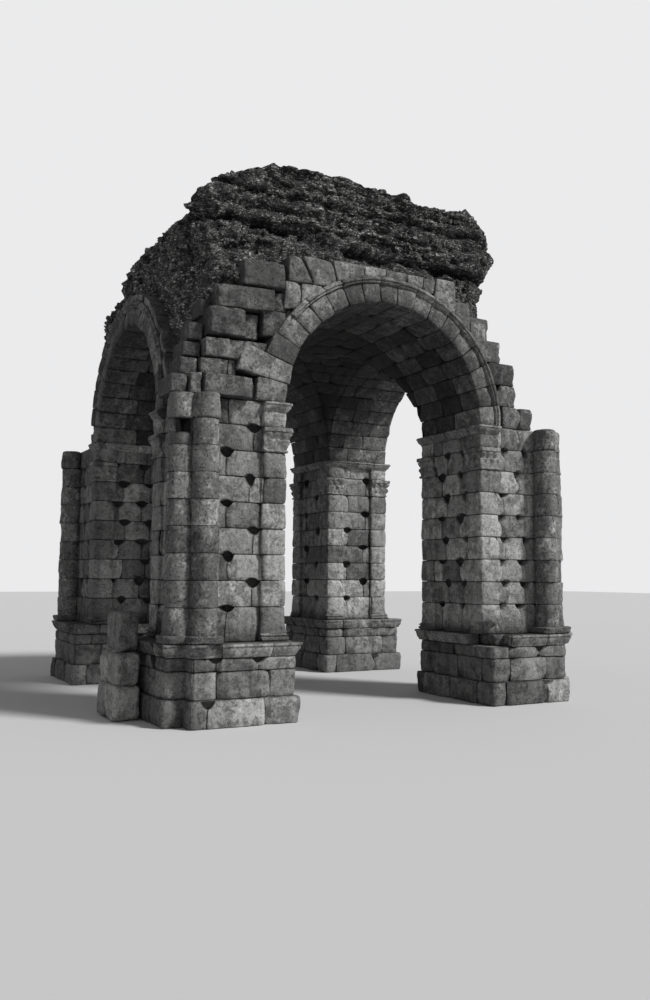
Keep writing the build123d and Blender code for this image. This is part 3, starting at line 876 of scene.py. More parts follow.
def build_impost(name, signs, sizes):
    """Moulded impost course on the passage sides."""
    rng = random_for(sizes, "impost", name)
    heap = Heap()
    a, x, y, p = RADIUS, HALF_X, HALF_Y, PILASTER
    path = plan_path([(a + p, y), (a, y), (a, a), (x, a), (x, a + p)], signs)
    profile = cap_profile(IMPOST_LOW.z, 0.11, SPRING - IMPOST_LOW.z)
    cuts = free_cuts(path, 0.6, 0.95, 1.1, 0.1, rng)

    def worn(s, w):
        return -0.008 + 0.009 * path.ripple(s, w, LUMP)

    lay_course(heap, path, cuts, (IMPOST_LOW.z, SPRING), rng, sizes, profile=profile, relief=worn, grid=0.06,
               back=0.4, wear=0.8)
    wall = plan_path(wall_outline(), signs, closed=True)
    fill_behind(heap, wall, IMPOST_LOW.z, SPRING - 0.03, 0.06)
    heap.piece("impost_stones_" + name, "moulded_granite", "moulded_stone", "impost_" + name)


def upright_rings(x, y, radius, turn, z):
    """Rings of points at a radius and angles about an upright axis."""
    return np.stack(np.broadcast_arrays(x + radius * np.cos(turn), y + radius * np.sin(turn), z), -1)


def add_drum(heap, x, y, rise, rng, sizes, last, holed):
    """One drum of a column: a circle with rounded ends and noise, which spreads towards the plinth.

    The last one is worn rounder at its top. A holed one has a square recess below its top, dark round it.
    """
    gap = sizes.joint / 2
    edge = sizes.rounding * rng.uniform(0.4, 0.8) * (4 if last else 1)
    z = grid_lines(rise[0] + gap, rise[1] - gap, 0.075, edge)
    if holed:
        z = np.unique(np.append(z, (z[-1] - HOLE_HEIGHT - 0.005, z[-1] - HOLE_HEIGHT + 0.005)))
    t, h = np.meshgrid(DRUM_TURNS, z)
    facing = np.cos(t - HOLE_TURN)
    hole = holed * (facing > math.cos(HOLE_HALF_TURN)) * (h > z[-1] - HOLE_HEIGHT)
    spread = 0.035 * np.exp(-(h[..., :1] - PLINTH_TOP) / 0.12)
    size = COLUMN_RADIUS + rng.uniform(-0.012, 0.002) + spread
    inset = np.minimum(z - z[0], z[-1] - z)[:, None]
    own = upright_rings(x, y, size, t, h) + rng.uniform(-NOISE_SHIFT, NOISE_SHIFT, 3)
    noise = 0.012 * ripple(own, BROAD) + 0.01 * ripple(own, LUMP) + 0.006 * ripple(own, FINE) - 0.01
    depth = sizes.wear * noise - HOLE_DEPTH * hole - drop(inset, edge)
    move = np.array([rng.normal(0, 0.006), rng.normal(0, 0.006), 0])
    rim = np.clip(1 - inset / (2 * edge), 0, 1)
    foot = 0.7 * np.exp(-(h - PLINTH_TOP) / 0.14)
    # The side of a drum that looks left gets painted shade
    dark = np.clip(0.4 * rim**3 + 0.35 * np.clip(-np.cos(t), 0, 1) + foot, 0, DARKEST)
    dark[0] = DARKEST
    if not last:
        dark[-1] = DARKEST
    # Painted shade in the hole and in a band round it
    dark[holed & (facing > math.cos(0.6)) & (h > z[-1] - HOLE_HEIGHT - 0.015)] = HOLE_SHADE
    rings = upright_rings(x, y, size + depth, t, h) + move
    heap.add_tube(rings, np.clip(rng.normal(0.45, 0.25), 0, 1), rim, dark)


def build_columns(name, signs, sizes):
    """The two engaged columns at the outer corner: drums round a dark core, each column on a square pad."""
    rng = random_for(sizes, "column", name)
    heap = Heap()
    core_ends = np.array([PLINTH_TOP + PAD_HEIGHT, SPRING - 0.06])[:, None]
    for which, (x, y) in enumerate(COLUMNS):
        x, y = on_pier(x, y, signs)
        for n, rise in enumerate(zip(SHAFT_LEVELS, SHAFT_LEVELS[1:])):
            add_drum(heap, x, y, rise, rng, sizes, last=n == len(SHAFT_LEVELS) - 2,
                     holed=(name, which, n) == HOLED_DRUM)
        # A core in painted shade, seen through the joints between the drums
        if name != HOLED_DRUM[0]:
            heap.add_tube(upright_rings(x, y, 0.8 * COLUMN_RADIUS, DRUM_TURNS, core_ends), 0.3, 0.0, 1.0)
        add_blocks(heap, (x, y, PLINTH_TOP + PAD_HEIGHT / 2), (PAD_HALF, PAD_HALF, PAD_HEIGHT / 2), 0.0, rng,
                   cells=8, power=10.0, rough=0.03, tilt=0.0, tone=0.3, shade=0.5)
    heap.piece("column_drums_" + name, "lichened_granite", "squared_stone", "corner_columns_" + name)


# Blocks of a pedestal, as shift to the pier, share along its side, middle height, shares of the half width
# and the half depth, and half height
PEDESTAL_BLOCKS = (
    (0.0, -0.45, 0.31, 1.0, 0.52, 0.295), (0.0, 0.45, 0.31, 1.0, 0.5, 0.295),
    (0.0, -0.48, 0.87, 0.9, 0.48, 0.27), (0.0, 0.5, 0.82, 0.85, 0.46, 0.24),
    (0.05, 0.0, 1.5, 0.75, 0.7, 0.33),
)


def build_pedestal(name, signs, sizes):
    """Remains of a pedestal against the side of the plinth: four rough blocks and a broken one on top."""
    rng = random_for(sizes, "pedestal", name)
    heap = Heap()
    low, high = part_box("pedestal_stub_" + name)
    middle, half = (low + high) / 2, (high - low) / 2
    centres = [(middle.x - signs[0] * shift, middle.y + half.y * along, z)
               for shift, along, z, _, _, _ in PEDESTAL_BLOCKS]
    halves = [(half.x * wide, half.y * deep, high) for _, _, _, wide, deep, high in PEDESTAL_BLOCKS]
    add_blocks(heap, centres, halves, 0.0, rng, cells=10, power=9.0, rough=0.035, tilt=0.02)
    heap.piece("pedestal_stones_" + name, "squared_granite", "squared_stone", "pedestal_stub_" + name)


# Arches and vault


# Radius that the first faces of the front arch reach, from the left, where the moulding is lost
FRONT_BARE_ENDS = (2.76, 3.16, 2.72, 2.68)

# Stones over the front arch, as left, right, lowest foot, top, reach out of the facade, and the shifts of
# the left and the right end at the foot
BED_STONES = (
    (-2.2, -1.88, 7.3, 7.8, -0.05, 0.0, 0.0), (-1.87, -1.45, 7.3, 7.8, -0.03, 0.0, 0.0),
    (-2.14, -1.88, 7.81, 8.28, -0.02, 0.0, 0.25), (-1.87, -1.25, 7.81, 8.31, 0.0, 0.25, 0.09),
    (-1.24, -0.6, 7.9, 8.335, 0.01, 0.09, 0.04), (-0.59, -0.08, 8.1, 8.35, 0.0, 0.04, 0.0),
    (-0.07, 0.4, 8.1, 8.35, 0.0, 0.0, 0.0), (0.41, 0.79, 8.1, 8.345, 0.0, 0.0, -0.03),
    (0.8, 1.09, 8.05, 8.34, -0.01, -0.03, -0.06), (1.1, 1.56, 7.6, 8.38, 0.0, -0.06, 0.0),
    (1.57, 1.92, 7.3, 7.99, -0.02, 0.0, 0.0), (1.93, 2.33, 6.8, 7.63, -0.02, 0.0, 0.0),
)


def facade_frame(facade):
    """Across and outward plan directions of a facade, and its distance from the centre."""
    turn = FACADES.index(facade)
    across = np.array([(1, 0), (0, 1), (-1, 0), (0, -1)][turn], float)
    out = np.array([(0, -1), (1, 0), (0, 1), (-1, 0)][turn], float)
    return across, out, (HALF_Y if turn % 2 == 0 else HALF_X)


def arc_point(facade, radius, turn, out_by):
    """Point at a radius and angle about an arch's axis, and a distance out from the centre."""
    across, out, _ = facade_frame(facade)
    plan = (radius * np.cos(turn))[..., None] * across + np.asarray(out_by)[..., None] * out
    return at_height(plan, SPRING + radius * np.sin(turn))


def archivolt_profile(inner, rim):
    """Fillets, groove and broad band of the moulding round an arch, as (radius, reach) outwards."""
    return [(inner, -0.03), (inner + 0.012, -0.03), (inner + 0.016, 0.03), (inner + 0.042, 0.03),
            (inner + 0.046, 0.0), (inner + 0.056, 0.0), (inner + 0.062, ARCHIVOLT_REACH),
            (rim - 0.05, ARCHIVOLT_REACH), (rim - 0.044, 0.02), (rim, 0.02)]


def build_arch(facade, sizes):
    """One arch: voussoirs with faces and soffits, archivolt stones on their back edge, backing stones."""
    rng = random_for(sizes, "arch", facade)
    heap = Heap()
    _, _, face = facade_frame(facade)
    count = sizes.voussoirs
    # Painted shade on the soffits, more on the left arch, and painted light on the left arch's faces
    face_shade, soffit_shade = (-0.15, 0.72) if facade == "left" else (0.0, 0.3)
    turns = math.pi - np.linspace(0, math.pi, count + 1)
    rim = OUTER_RADIUS - BACKING
    inner = rim - ARCHIVOLT_WIDTH
    bare_ends = FRONT_BARE_ENDS if facade == "front" else (rim,)
    for n in range(count):
        rise = ((math.pi - turns[n]) * RADIUS, (math.pi - turns[n + 1]) * RADIUS)
        is_bare = n < len(bare_ends)
        section = Path([(bare_ends[n] if is_bare else inner, face), (RADIUS, face), (RADIUS, RADIUS)])

        def voussoir(s, w, d, section=section):
            plan = section.offset(s, d)
            return arc_point(facade, plan[..., 0], math.pi - w / RADIUS, plan[..., 1])

        def band(s, w, d):
            return arc_point(facade, w, math.pi - s / RADIUS, face + d)

        split = section.at[1] + rng.uniform(0.55, 0.95)
        ends = (0.0, split, split + (section.total - split) * rng.uniform(0.42, 0.58), section.total)
        tone = float(np.clip(rng.normal(0.5, 0.25), 0, 1))
        for k, span in enumerate(zip(ends, ends[1:])):
            is_thin = k == 2 and n in (0, count - 1)
            face_stone(heap, voussoir, span, rise, rng, sizes, path=section, back=0.05 if is_thin else 0.25,
                       grid=0.08, rough=1.4, sunk=rng.uniform(-0.015, 0), tone=tone if k == 0 else None,
                       shade=face_shade if k == 0 else soffit_shade)
        if not is_bare:
            face_stone(heap, band, rise, (inner - 0.006, rim + 0.004), rng, sizes,
                       profile=archivolt_profile(inner, rim), back=0.25, grid=0.06, wear=0.4, tone=tone)
    lay_backing(heap, facade, rim, rng, sizes)
    # Fill behind the ring, in painted shade
    stations = np.linspace(0, math.pi, 2 * count + 1)[:, None]
    low, high, near, far = RADIUS + 0.12, rim + 0.06, RADIUS + 0.13, face - 0.12
    radii = np.broadcast_to([low, low, high, high], (len(stations), 4))
    heap.add_tube(arc_point(facade, radii, stations, np.array([near, far, far, near])), 0.3, 0.0, 1.0)
    heap.piece("voussoirs_" + facade, "arch_granite", "arch_stone", facade + "_arch")


def lay_backing(heap, facade, rim, rng, sizes):
    """Stones on the back of an arch ring.

    At the front they stand upright from the ring's back, at SPRING + sqrt(rim^2 - x^2), to flat tops: a
    level bed over the crown and separate blocks at its ends. The other rings keep one worn radial course.
    """
    _, _, face = facade_frame(facade)
    if facade != "front":
        cuts = [180.0]
        while cuts[-1] > 14:
            cuts.append(cuts[-1] - rng.uniform(7, 14))
        cuts.append(0.0)
        for start, end in zip(cuts, cuts[1:]):
            length = math.radians(start - end) * rim

            def radial(s, w, d, start=start):
                return arc_point(facade, rim + w, math.radians(start) - s / rim, face + d)

            height = BACKING * rng.uniform(0.75, 1.0)
            face_stone(heap, radial, (0, length), (0, height), rng, sizes, back=0.95, grid=0.07,
                       sunk=-rng.uniform(0.0, 0.05), wear=1.1, rough=1.8)
        return
    for x0, x1, low, high, sunk, left, right in BED_STONES:
        def upright(s, w, d, x0=x0, x1=x1, low=low, high=high, left=left, right=right):
            share = (w - low) / (high - low)
            x = s + (left + (right - left) * (s - x0) / (x1 - x0)) * (1 - share)
            foot = np.maximum(SPRING + np.sqrt(np.clip(rim**2 - x**2, 0, None)) - 0.01, low)
            return np.stack(np.broadcast_arrays(x, -face - d, foot + share * (high - foot)), -1)

        tone = float(np.clip(rng.normal(0.5, 0.2), 0, 1))
        face_stone(heap, upright, (x0, x1), (low, high), rng, sizes, back=0.95, grid=0.05, sunk=sunk,
                   wear=0.9, rough=2.0, tone=tone)


def build_web(facade, sizes):
    """One web of the groin vault: rows of stones on the barrel, from the arch in to the groins.

    A row reaches from the arch, RADIUS out, to the groin, which lies as far out as the row lies across.
    """
    rng = random_for(sizes, "web", facade)
    heap = Heap()
    rows = sizes.voussoirs
    for n in range(rows):
        low, high = n * math.pi / rows * RADIUS, (n + 1) * math.pi / rows * RADIUS
        middle = (low + high) / 2 / RADIUS
        length = RADIUS * (1 - abs(math.cos(middle)))
        if length < 0.05:
            continue

        def web(s, w, d, length=length):
            turn = math.pi - w / RADIUS
            groin = np.abs((RADIUS - d) * np.cos(turn))
            return arc_point(facade, RADIUS - d, turn, RADIUS + s / length * (groin - RADIUS))

        parts = max(1, round(length / 0.62))
        ends = (np.arange(parts + 1) + 0.25 * (n % 2) * (parts > 1)) / parts
        ends = [0.0] + [e * length for e in ends[1:] if e < 0.95] + [length]
        # Painted shade over the web's stones
        for span in zip(ends, ends[1:]):
            face_stone(heap, web, span, (low, high), rng, sizes, back=0.22, sunk=rng.uniform(-0.02, 0),
                       wear=0.8, grid=0.13, shade=0.2)
    # Fill behind the webs, in painted shade
    turns = np.linspace(0, math.pi, 2 * rows + 1)[:, None]
    radius = RADIUS + np.array([0.1, 0.1, 0.5, 0.5]) + np.zeros_like(turns)
    groin = np.abs(radius * np.cos(turns))
    out_by = np.where([True, False, False, True], groin, np.maximum(groin, RADIUS))
    heap.add_tube(arc_point(facade, radius, turns, out_by), 0.3, 0.0, 1.0)
    heap.piece("vault_stones_" + facade, "vault_granite", "arch_stone", "vault_web_" + facade)


# Haunches


# How far each course of a haunch stands back along X, from the springing up, and its share of that along Y
STEPS = {
    "front_left": (0.15, 0.22, 0.29, 0.45, 0.62),
    "front_right": (0.37, 0.77, 0.78, 1.12, 1.40),
    "rear_left": (0.24, 0.56, 0.90, 1.13),
    "rear_right": (0.30, 0.62, 0.82, 1.15),
}
STEP_SHARES = {"front_left": 0.1, "front_right": 0.1, "rear_left": 1.15, "rear_right": 1.15}

# Stones of the front left haunch in the facade, as left, right, foot, top and reach out of the facade
SPANDREL_STONES = (
    (-3.76, -2.87, 5.545, 5.91, 0.12), (-2.85, -2.66, 5.55, 5.84, -0.12), (-3.78, -3.27, 5.93, 6.21, -0.08),
    (-3.25, -3.09, 5.96, 6.24, -0.14), (-3.7, -3.0, 6.24, 6.57, -0.04), (-3.92, -3.66, 6.56, 6.86, -0.3),
    (-3.64, -2.98, 6.63, 7.12, 0.04), (-2.98, -2.5, 6.38, 6.61, -0.12), (-2.96, -2.67, 6.66, 7.11, -0.17),
    (-2.63, -2.17, 6.74, 7.2, -0.06), (-3.5, -2.42, 7.15, 7.55, 0.0), (-3.03, -2.24, 7.6, 8.06, 0.03),
    (-3.72, -3.53, 7.0, 7.3, -0.3), (-2.41, -2.1, 7.22, 7.57, -0.12), (-4.3, -4.03, 5.545, 5.86, -0.02),
    (-4.0, -3.79, 5.545, 5.9, 0.04), (-4.12, -3.8, 5.88, 6.2, -0.16), (-4.05, -3.72, 6.23, 6.5, -0.25),
)


def build_haunch(name, signs, sizes):
    """Stepped masonry over one pier: each course stands back from the one below it."""
    rng = random_for(sizes, "haunch", name)
    heap = Heap()
    is_leaning = name == "front_left"
    for n, step in enumerate(STEPS[name]):
        z0 = SPRING + n * COURSE
        z1 = z0 + COURSE
        x, y = HALF_X - step, HALF_Y - step * STEP_SHARES[name]
        ring = math.sqrt(max(0.0, OUTER_RADIUS**2 - (z1 - SPRING) ** 2))
        start_x, start_y = min(max(ring, 0.6), x - 0.3), min(max(ring, 0.6), y - 0.3)
        corners = [(x, start_y), (x, y - 0.45)] if is_leaning else [(x, start_y), (x, y), (start_x, y)]
        path = plan_path(corners, signs)
        cuts = free_cuts(path, 0.45, 0.85, 0.95, 0.14, rng)
        lay_course(heap, path, cuts, (z0, z1), rng, sizes, pockets=0.3, back=0.45, wear=1.3, rough=2.0,
                   sunk=-0.03)
        inner = math.sqrt(max(0.0, (RADIUS + VAULT_THICKNESS) ** 2 - (z0 - SPRING) ** 2))
        fill = plan_path([(inner, inner), (x, inner), (x, y), (inner, y)], signs, closed=True)
        fill_behind(heap, fill, z0 - 0.05, z1 - 0.03, 0.24 if is_leaning else 0.14)
    for x0, x1, z0, z1, reach in SPANDREL_STONES if is_leaning else ():
        lean = rng.normal(0, 0.02)
        is_smooth = z0 > 7.1

        def block(s, w, d, lean=lean, middle=(x0 + x1) / 2):
            return np.stack(np.broadcast_arrays(s, -HALF_Y - d, w + lean * (s - middle)), -1)

        face_stone(heap, block, (x0, x1), (z0, z1), rng, sizes, back=0.75, grid=0.045, sunk=reach, wear=0.9,
                   rough=1.5 if is_smooth else 4.5, tone=0.35 if is_smooth else None)
    heap.piece("haunch_stones_" + name, "weathered_granite", "squared_stone", "haunch_" + name)


# Rubble core


# Right end of the core's outline, and the number of points round it
CORE_RIGHT = 3.12
CORE_COLUMNS = 600
# Highest the mound may stand, just under the frame's box
MOUND_LIMIT = MOUND_HIGH.z - 0.004
# The mound's rear slope starts at this y and falls to this height at its rear side
SLOPE_START = 1.0
SLOPE_FOOT = 9.2
# Height that is left of the fallen corner at the rear left
FALLEN_TOP = 8.7
# Length and reach of the ledges in the core's sides
LEDGE_LENGTH = 0.9
LEDGE_REACH = 0.06
# The front steps back by this much over each of these rises
SETBACK = 0.06
SETBACK_RISES = ((9.14, 9.24), (9.78, 9.88))
# Cleft in the left side: its y, half width and depth
CLEFT_Y = -2.75
CLEFT_HALF = 0.16
CLEFT_DEPTH = 0.3
# Crown of the mound from the front, as (x, height)
CROWN = (
    (-3.62, 9.4), (-3.385, 9.74), (-3.113, 9.95), (-2.787, 10.14), (-2.063, 10.42), (-0.434, 10.535),
    (0.181, 10.405), (1.122, 10.489), (1.231, 10.313), (2.643, 10.405), (2.9, 10.34), (3.12, 10.14),
    (3.403, 9.74),
)

# Grooves in the core's face, as height, depth, half width, and the depths' shares at the left and the right
GROOVES = (
    (9.16, 0.26, 0.075, 1.0, 0.1), (8.97, 0.3, 0.08, 0.15, 1.0), (9.85, 0.26, 0.075, 0.6, 0.9),
    (9.5, 0.07, 0.04, 0.9, 0.5), (9.31, 0.06, 0.035, 0.2, 1.0), (10.15, 0.06, 0.04, 0.6, 0.9),
    (8.62, 0.05, 0.035, 0.5, 0.8),
)

# How far the core's right end and its left end stand out, as (height, reach)
RIGHT_FLARE = (
    (7.3, 0.46), (7.36, 0.0), (8.685, 0.0), (9.02, 0.17), (9.31, 0.43), (9.61, 0.5), (9.74, 0.5), (10.0, 0.5),
    (10.2, 0.4), (10.45, 0.1),
)
LEFT_FLARE = ((8.5, 0.0), (9.0, 0.08), (9.5, 0.14), (9.9, 0.1), (10.2, 0.0))

# Banks of rubble behind and beside the blocks of the front left haunch, as middle and half sizes
BANKS = (((-2.75, -3.45, 7.75), (0.78, 0.5, 0.6)), ((-3.2, -3.5, 7.2), (0.4, 0.5, 0.6)))


def mound_height(x, y):
    """Height of the mound: its crown from the front, lower at the left end, cut by the rear slope."""
    crown = table(CROWN, x)
    crown = crown - 0.18 * smooth(y, -2.9, -2.5) * smooth(-x, 1.9, 2.2)
    slope = MOUND_HIGH.z - (y - SLOPE_START) * (MOUND_HIGH.z - SLOPE_FOOT) / (CORE_Y - SLOPE_START)
    top = np.minimum(crown, slope)
    fallen = smooth(y, 1.1, 1.4) * smooth(-x, 2.65 - 0.25 * (y - 1.25), 2.9 - 0.25 * (y - 1.25))
    return top - fallen * np.clip(top - FALLEN_TOP, 0, None)


def mound_flare(x, z):
    """How far the core's ends stand out: foot, lip, brow and shoulder at the right, a swell at the left."""
    out = smooth(x, 2.2, 3.0) * table(RIGHT_FLARE, z)
    return out - smooth(-x, 2.8, 3.4) * table(LEFT_FLARE, z)


def underside(x, y):
    """Height of the core's underside: the barrels' outer surface, or the springing line beyond it."""
    reach = RADIUS + VAULT_THICKNESS
    return SPRING + np.sqrt(np.clip(reach**2 - np.minimum(np.abs(x), np.abs(y)) ** 2, 0.0, None))


def lumps(along, height, rubble):
    """Lumps in wavy layers: each cell of a layer has a random reach out of the face, and a random tone.

    The cells of each layer are shifted by a random part of their length, and the mortar lies back.
    """
    row = np.floor(height / rubble.layer)
    place = along / rubble.lump + 7 * cell_hash(row, 0 * row, 1.0)
    cell = np.floor(place)
    across = np.abs(place - cell - 0.5) * 2
    up = np.abs(height / rubble.layer - row - 0.5) * 2
    reach = cell_hash(row, cell, 2.0) - 0.6 * smooth(np.maximum(across, up), 0.55, 1.0)
    return reach, cell_hash(row, cell, 3.0)


def add_bank(heap, centre, halves, rubble, cells=26, power=3.0):
    """Bank of rubble: a rounded cube, each point moved out by noise and the lumps of its layer."""
    body, faces = rounded_cube(cells, power)
    place = body * halves + centre
    out_by = body / np.linalg.norm(body, axis=1, keepdims=True)
    reach, tone = lumps(place[:, 0] + place[:, 1], place[:, 2] + 0.04 * ripple(place, BROAD), rubble)
    move = 0.04 * ripple(place, BROAD) + 0.03 * ripple(place, LUMP) + 0.08 * (reach - 0.45)
    heap.add(place + move[:, None] * out_by, np.stack([tone, reach, 0 * tone], 1), faces)


def add_top(heap, rubble):
    """Top of the mound: a closed slab over a plan grid, its surface raised by noise and lumps.

    Near the outline it dips under the rings of the sides, so that no edge of it is seen.
    """
    x, y = np.meshgrid(np.linspace(-CORE_X + 0.25, CORE_RIGHT - 0.15, 96),
                       np.linspace(-CORE_Y + 0.25, CORE_Y - 0.25, 88))
    inside = np.minimum(np.minimum(x - x.min(), x.max() - x), np.minimum(y - y.min(), y.max() - y))
    flat = np.stack([x, y, 0 * x], -1)
    lump = ripple(flat, LUMP)
    reach, tone = lumps(x + 0.05 * lump, y * 0.7 + 0.08 * lump, rubble)
    bumps = 0.05 * ripple(flat, BROAD) + 0.04 * lump + 0.06 * (reach - 0.6)
    z = np.minimum(mound_height(x, y) + bumps, MOUND_LIMIT) - 0.4 * (1 - smooth(inside, 0.0, 0.45))
    faces, cap, rim = closed_sheet(x.shape)
    points = np.stack([x, y, z], -1).reshape(-1, 3)
    foot = points[rim] - (0, 0, 0.5)
    values = np.stack([tone, reach, 0 * tone], -1).reshape(-1, 3)
    values = np.vstack([values, np.tile([0.3, 0.0, 0.9], (rim.size, 1))])
    heap.add(np.vstack([points, foot]), values, faces, (cap,))


def groove_depth(side_on):
    """Depth of the core's grooves: bell curves of the height, whose level and depth wander with noise."""
    z = side_on[..., 2]
    front = smooth(-side_on[..., 1], 2.7, 3.1)
    groove = np.zeros_like(z)
    for level, depth, half, left, right in GROOVES:
        wander = level + 0.035 * ripple(side_on, BROAD)
        share = left + (right - left) * smooth(side_on[..., 0], -1.6, -0.6)
        fade = np.clip(1 + 0.25 * ripple(side_on + level, BROAD), 0.4, 1.3)
        groove += depth * share * fade * np.exp(-(((z - wander) / half) ** 2)) * (0.35 + 0.65 * front)
    return groove


def core_sides(rng, rubble):
    """Sides of the core as a grid of points, with their values and the outline's outward directions.

    Each point stands on the plan outline, moved along the outline's normal by broad noise, by lumps and
    ledges in layers, by the grooves and setbacks and by a cleft in the left side. The ends flare.
    """
    path = Path([(-CORE_X, -CORE_Y), (CORE_RIGHT, -CORE_Y), (CORE_RIGHT, CORE_Y), (-CORE_X, CORE_Y)],
                closed=True)
    around = np.linspace(0, path.total, CORE_COLUMNS, endpoint=False)
    corner = np.abs(around[:, None] - np.array(path.corners)).min(1)
    rim = path.offset(around, -0.2 * np.exp(-((corner / 0.28) ** 2)))
    step = np.roll(rim, -8, 0) - np.roll(rim, 8, 0)
    normal = np.stack([step[:, 1], -step[:, 0]], 1) / np.linalg.norm(step, axis=1)[:, None]
    foot, head = underside(*rim.T), mound_height(*rim.T)
    share = np.concatenate([np.linspace(0, 0.5, 12, endpoint=False), np.linspace(0.5, 1, 62)])[:, None]
    z = foot + share * (head - foot) + rng.uniform(-0.007, 0.007, (len(share), CORE_COLUMNS))
    side_on = at_height(np.broadcast_to(rim, z.shape + (2,)), z)
    broad, lump = ripple(side_on, BROAD), ripple(side_on, LUMP)
    wavy = z + 0.05 * broad + 0.02 * lump
    along = np.broadcast_to(around, z.shape) + 0.03 * lump
    reach, tone = lumps(along, wavy, rubble)
    ledge = cell_hash(np.floor(wavy / rubble.layer), np.floor(along / LEDGE_LENGTH), 5.0) - 0.5
    out = rubble.relief * broad + 0.03 * lump + 0.06 * (reach - 0.45)
    out += LEDGE_REACH * ledge
    out *= 1 - 0.65 * np.exp(-((corner / 0.35) ** 2))
    groove = groove_depth(side_on)
    setback = sum(SETBACK * smooth(z, low, high) for low, high in SETBACK_RISES)
    cleft = CLEFT_DEPTH * np.exp(-(((side_on[..., 1] - CLEFT_Y) / CLEFT_HALF) ** 2)) * smooth(z, 8.0, 8.4)
    cleft = cleft * (side_on[..., 0] < -3)
    out = np.clip(out - groove - setback * smooth(-side_on[..., 1], 2.7, 3.1) - cleft, -0.4, 0.13)
    side = side_on.copy()
    side[..., :2] += out[..., None] * normal
    side[..., 0] += mound_flare(side_on[..., 0], z)
    side[..., 2] = np.minimum(z, MOUND_LIMIT)
    # Painted shade in the grooves and the cleft, and painted light on the left end
    dark = np.clip(5.5 * groove + 3 * cleft, 0, 0.95) - 0.35 * smooth(-side_on[..., 0], 2.8, 3.4)
    return side, tone, reach, dark, normal


def core_top(outline, rubble):
    """Rings that carry the core's sides in over the top: the outline shrunk, raised by noise and lumps.

    They dip under the slab of the top after the first few.
    """
    shrink = np.concatenate([1 - 0.5 * np.linspace(0, 1, 20) ** 1.2, np.linspace(0.5, 0.003, 12)[1:]])
    plan = outline * shrink[1:, None, None]
    flat = at_height(plan, 0.0)
    lump = ripple(flat, LUMP)
    reach, tone = lumps(plan[..., 0] * 0.8, plan[..., 1] * 0.7 + 0.05 * lump, rubble)
    bumps = 0.05 * ripple(flat, BROAD) + 0.03 * lump + 0.06 * (reach - 0.6)
    z = mound_height(plan[..., 0], plan[..., 1]) + bumps
    z -= 0.16 * smooth(np.arange(1, len(shrink)), 5, 9)[:, None]
    return at_height(plan, np.minimum(z, MOUND_LIMIT)), tone, reach


def add_loose_stones(heap, side, top, normal, rng, rubble):
    """Loose stones bedded in the core's skin: three in four on its sides, the others on its top."""
    amount = rubble.stones
    pick = rng.integers(13, len(side) - 1, amount), rng.integers(0, CORE_COLUMNS, amount)
    spots = side[pick]
    on_top = rng.random(amount) < 0.25
    row = rng.integers(0, 16, amount)
    spots[on_top] = top[row[on_top], pick[1][on_top]]
    size = rng.uniform(0.35, 1.0, (amount, 1)) ** 1.4
    halves = np.concatenate([0.11 * size, 0.08 * size, 0.05 * size**0.6], 1)
    out = normal[pick[1]]
    yaw = np.arctan2(out[:, 1], out[:, 0]) + math.pi / 2 + rng.normal(0, 0.35, amount)
    spots[:, :2] -= 0.03 * out
    spots[:, 2] = np.minimum(spots[:, 2], MOUND_HIGH.z - 0.075)
    add_blocks(heap, spots, halves, yaw, rng, cells=2, power=7.0, rough=0.16, tilt=0.16,
               tone=rng.random(amount) ** 2.2, shade=0.0)


def build_core(sizes, rubble):
    """Rubble core: one closed surface from the underside over the vault, up the sides and over the top."""
    rng = random_for(sizes, "core")
    side, tone, reach, dark, normal = core_sides(rng, rubble)
    top, top_tone, top_reach = core_top(side[-1, :, :2], rubble)
    under_plan = side[0, :, :2] * np.linspace(0.004, 1, 11)[:-1, None, None]
    under = at_height(under_plan, underside(under_plan[..., 0], under_plan[..., 1]))
    blank = np.zeros(under.shape[:2])
    heap = Heap()
    tones = np.concatenate([blank + 0.3, tone, top_tone])
    edges = np.concatenate([0 * under[..., 0], reach, top_reach])
    shades = np.concatenate([blank + 0.4, dark, 0 * top_tone])
    heap.add_tube(np.concatenate([under, side, top]), tones, edges, shades)
    add_top(heap, rubble)
    for centre, halves in BANKS:
        add_bank(heap, np.array(centre), np.array(halves), rubble)
    heap.piece("core_rubble", "mortared_rubble", "rubble_core", "core_lower", "core_upper")
    stones = Heap()
    add_loose_stones(stones, side, top, normal, rng, rubble)
    stones.piece("core_stones", "mortared_rubble", "rubble_core", "core_upper", rounded=False)


# Finishes


VECTOR, FLOAT = "NodeSocketVector", "NodeSocketFloat"


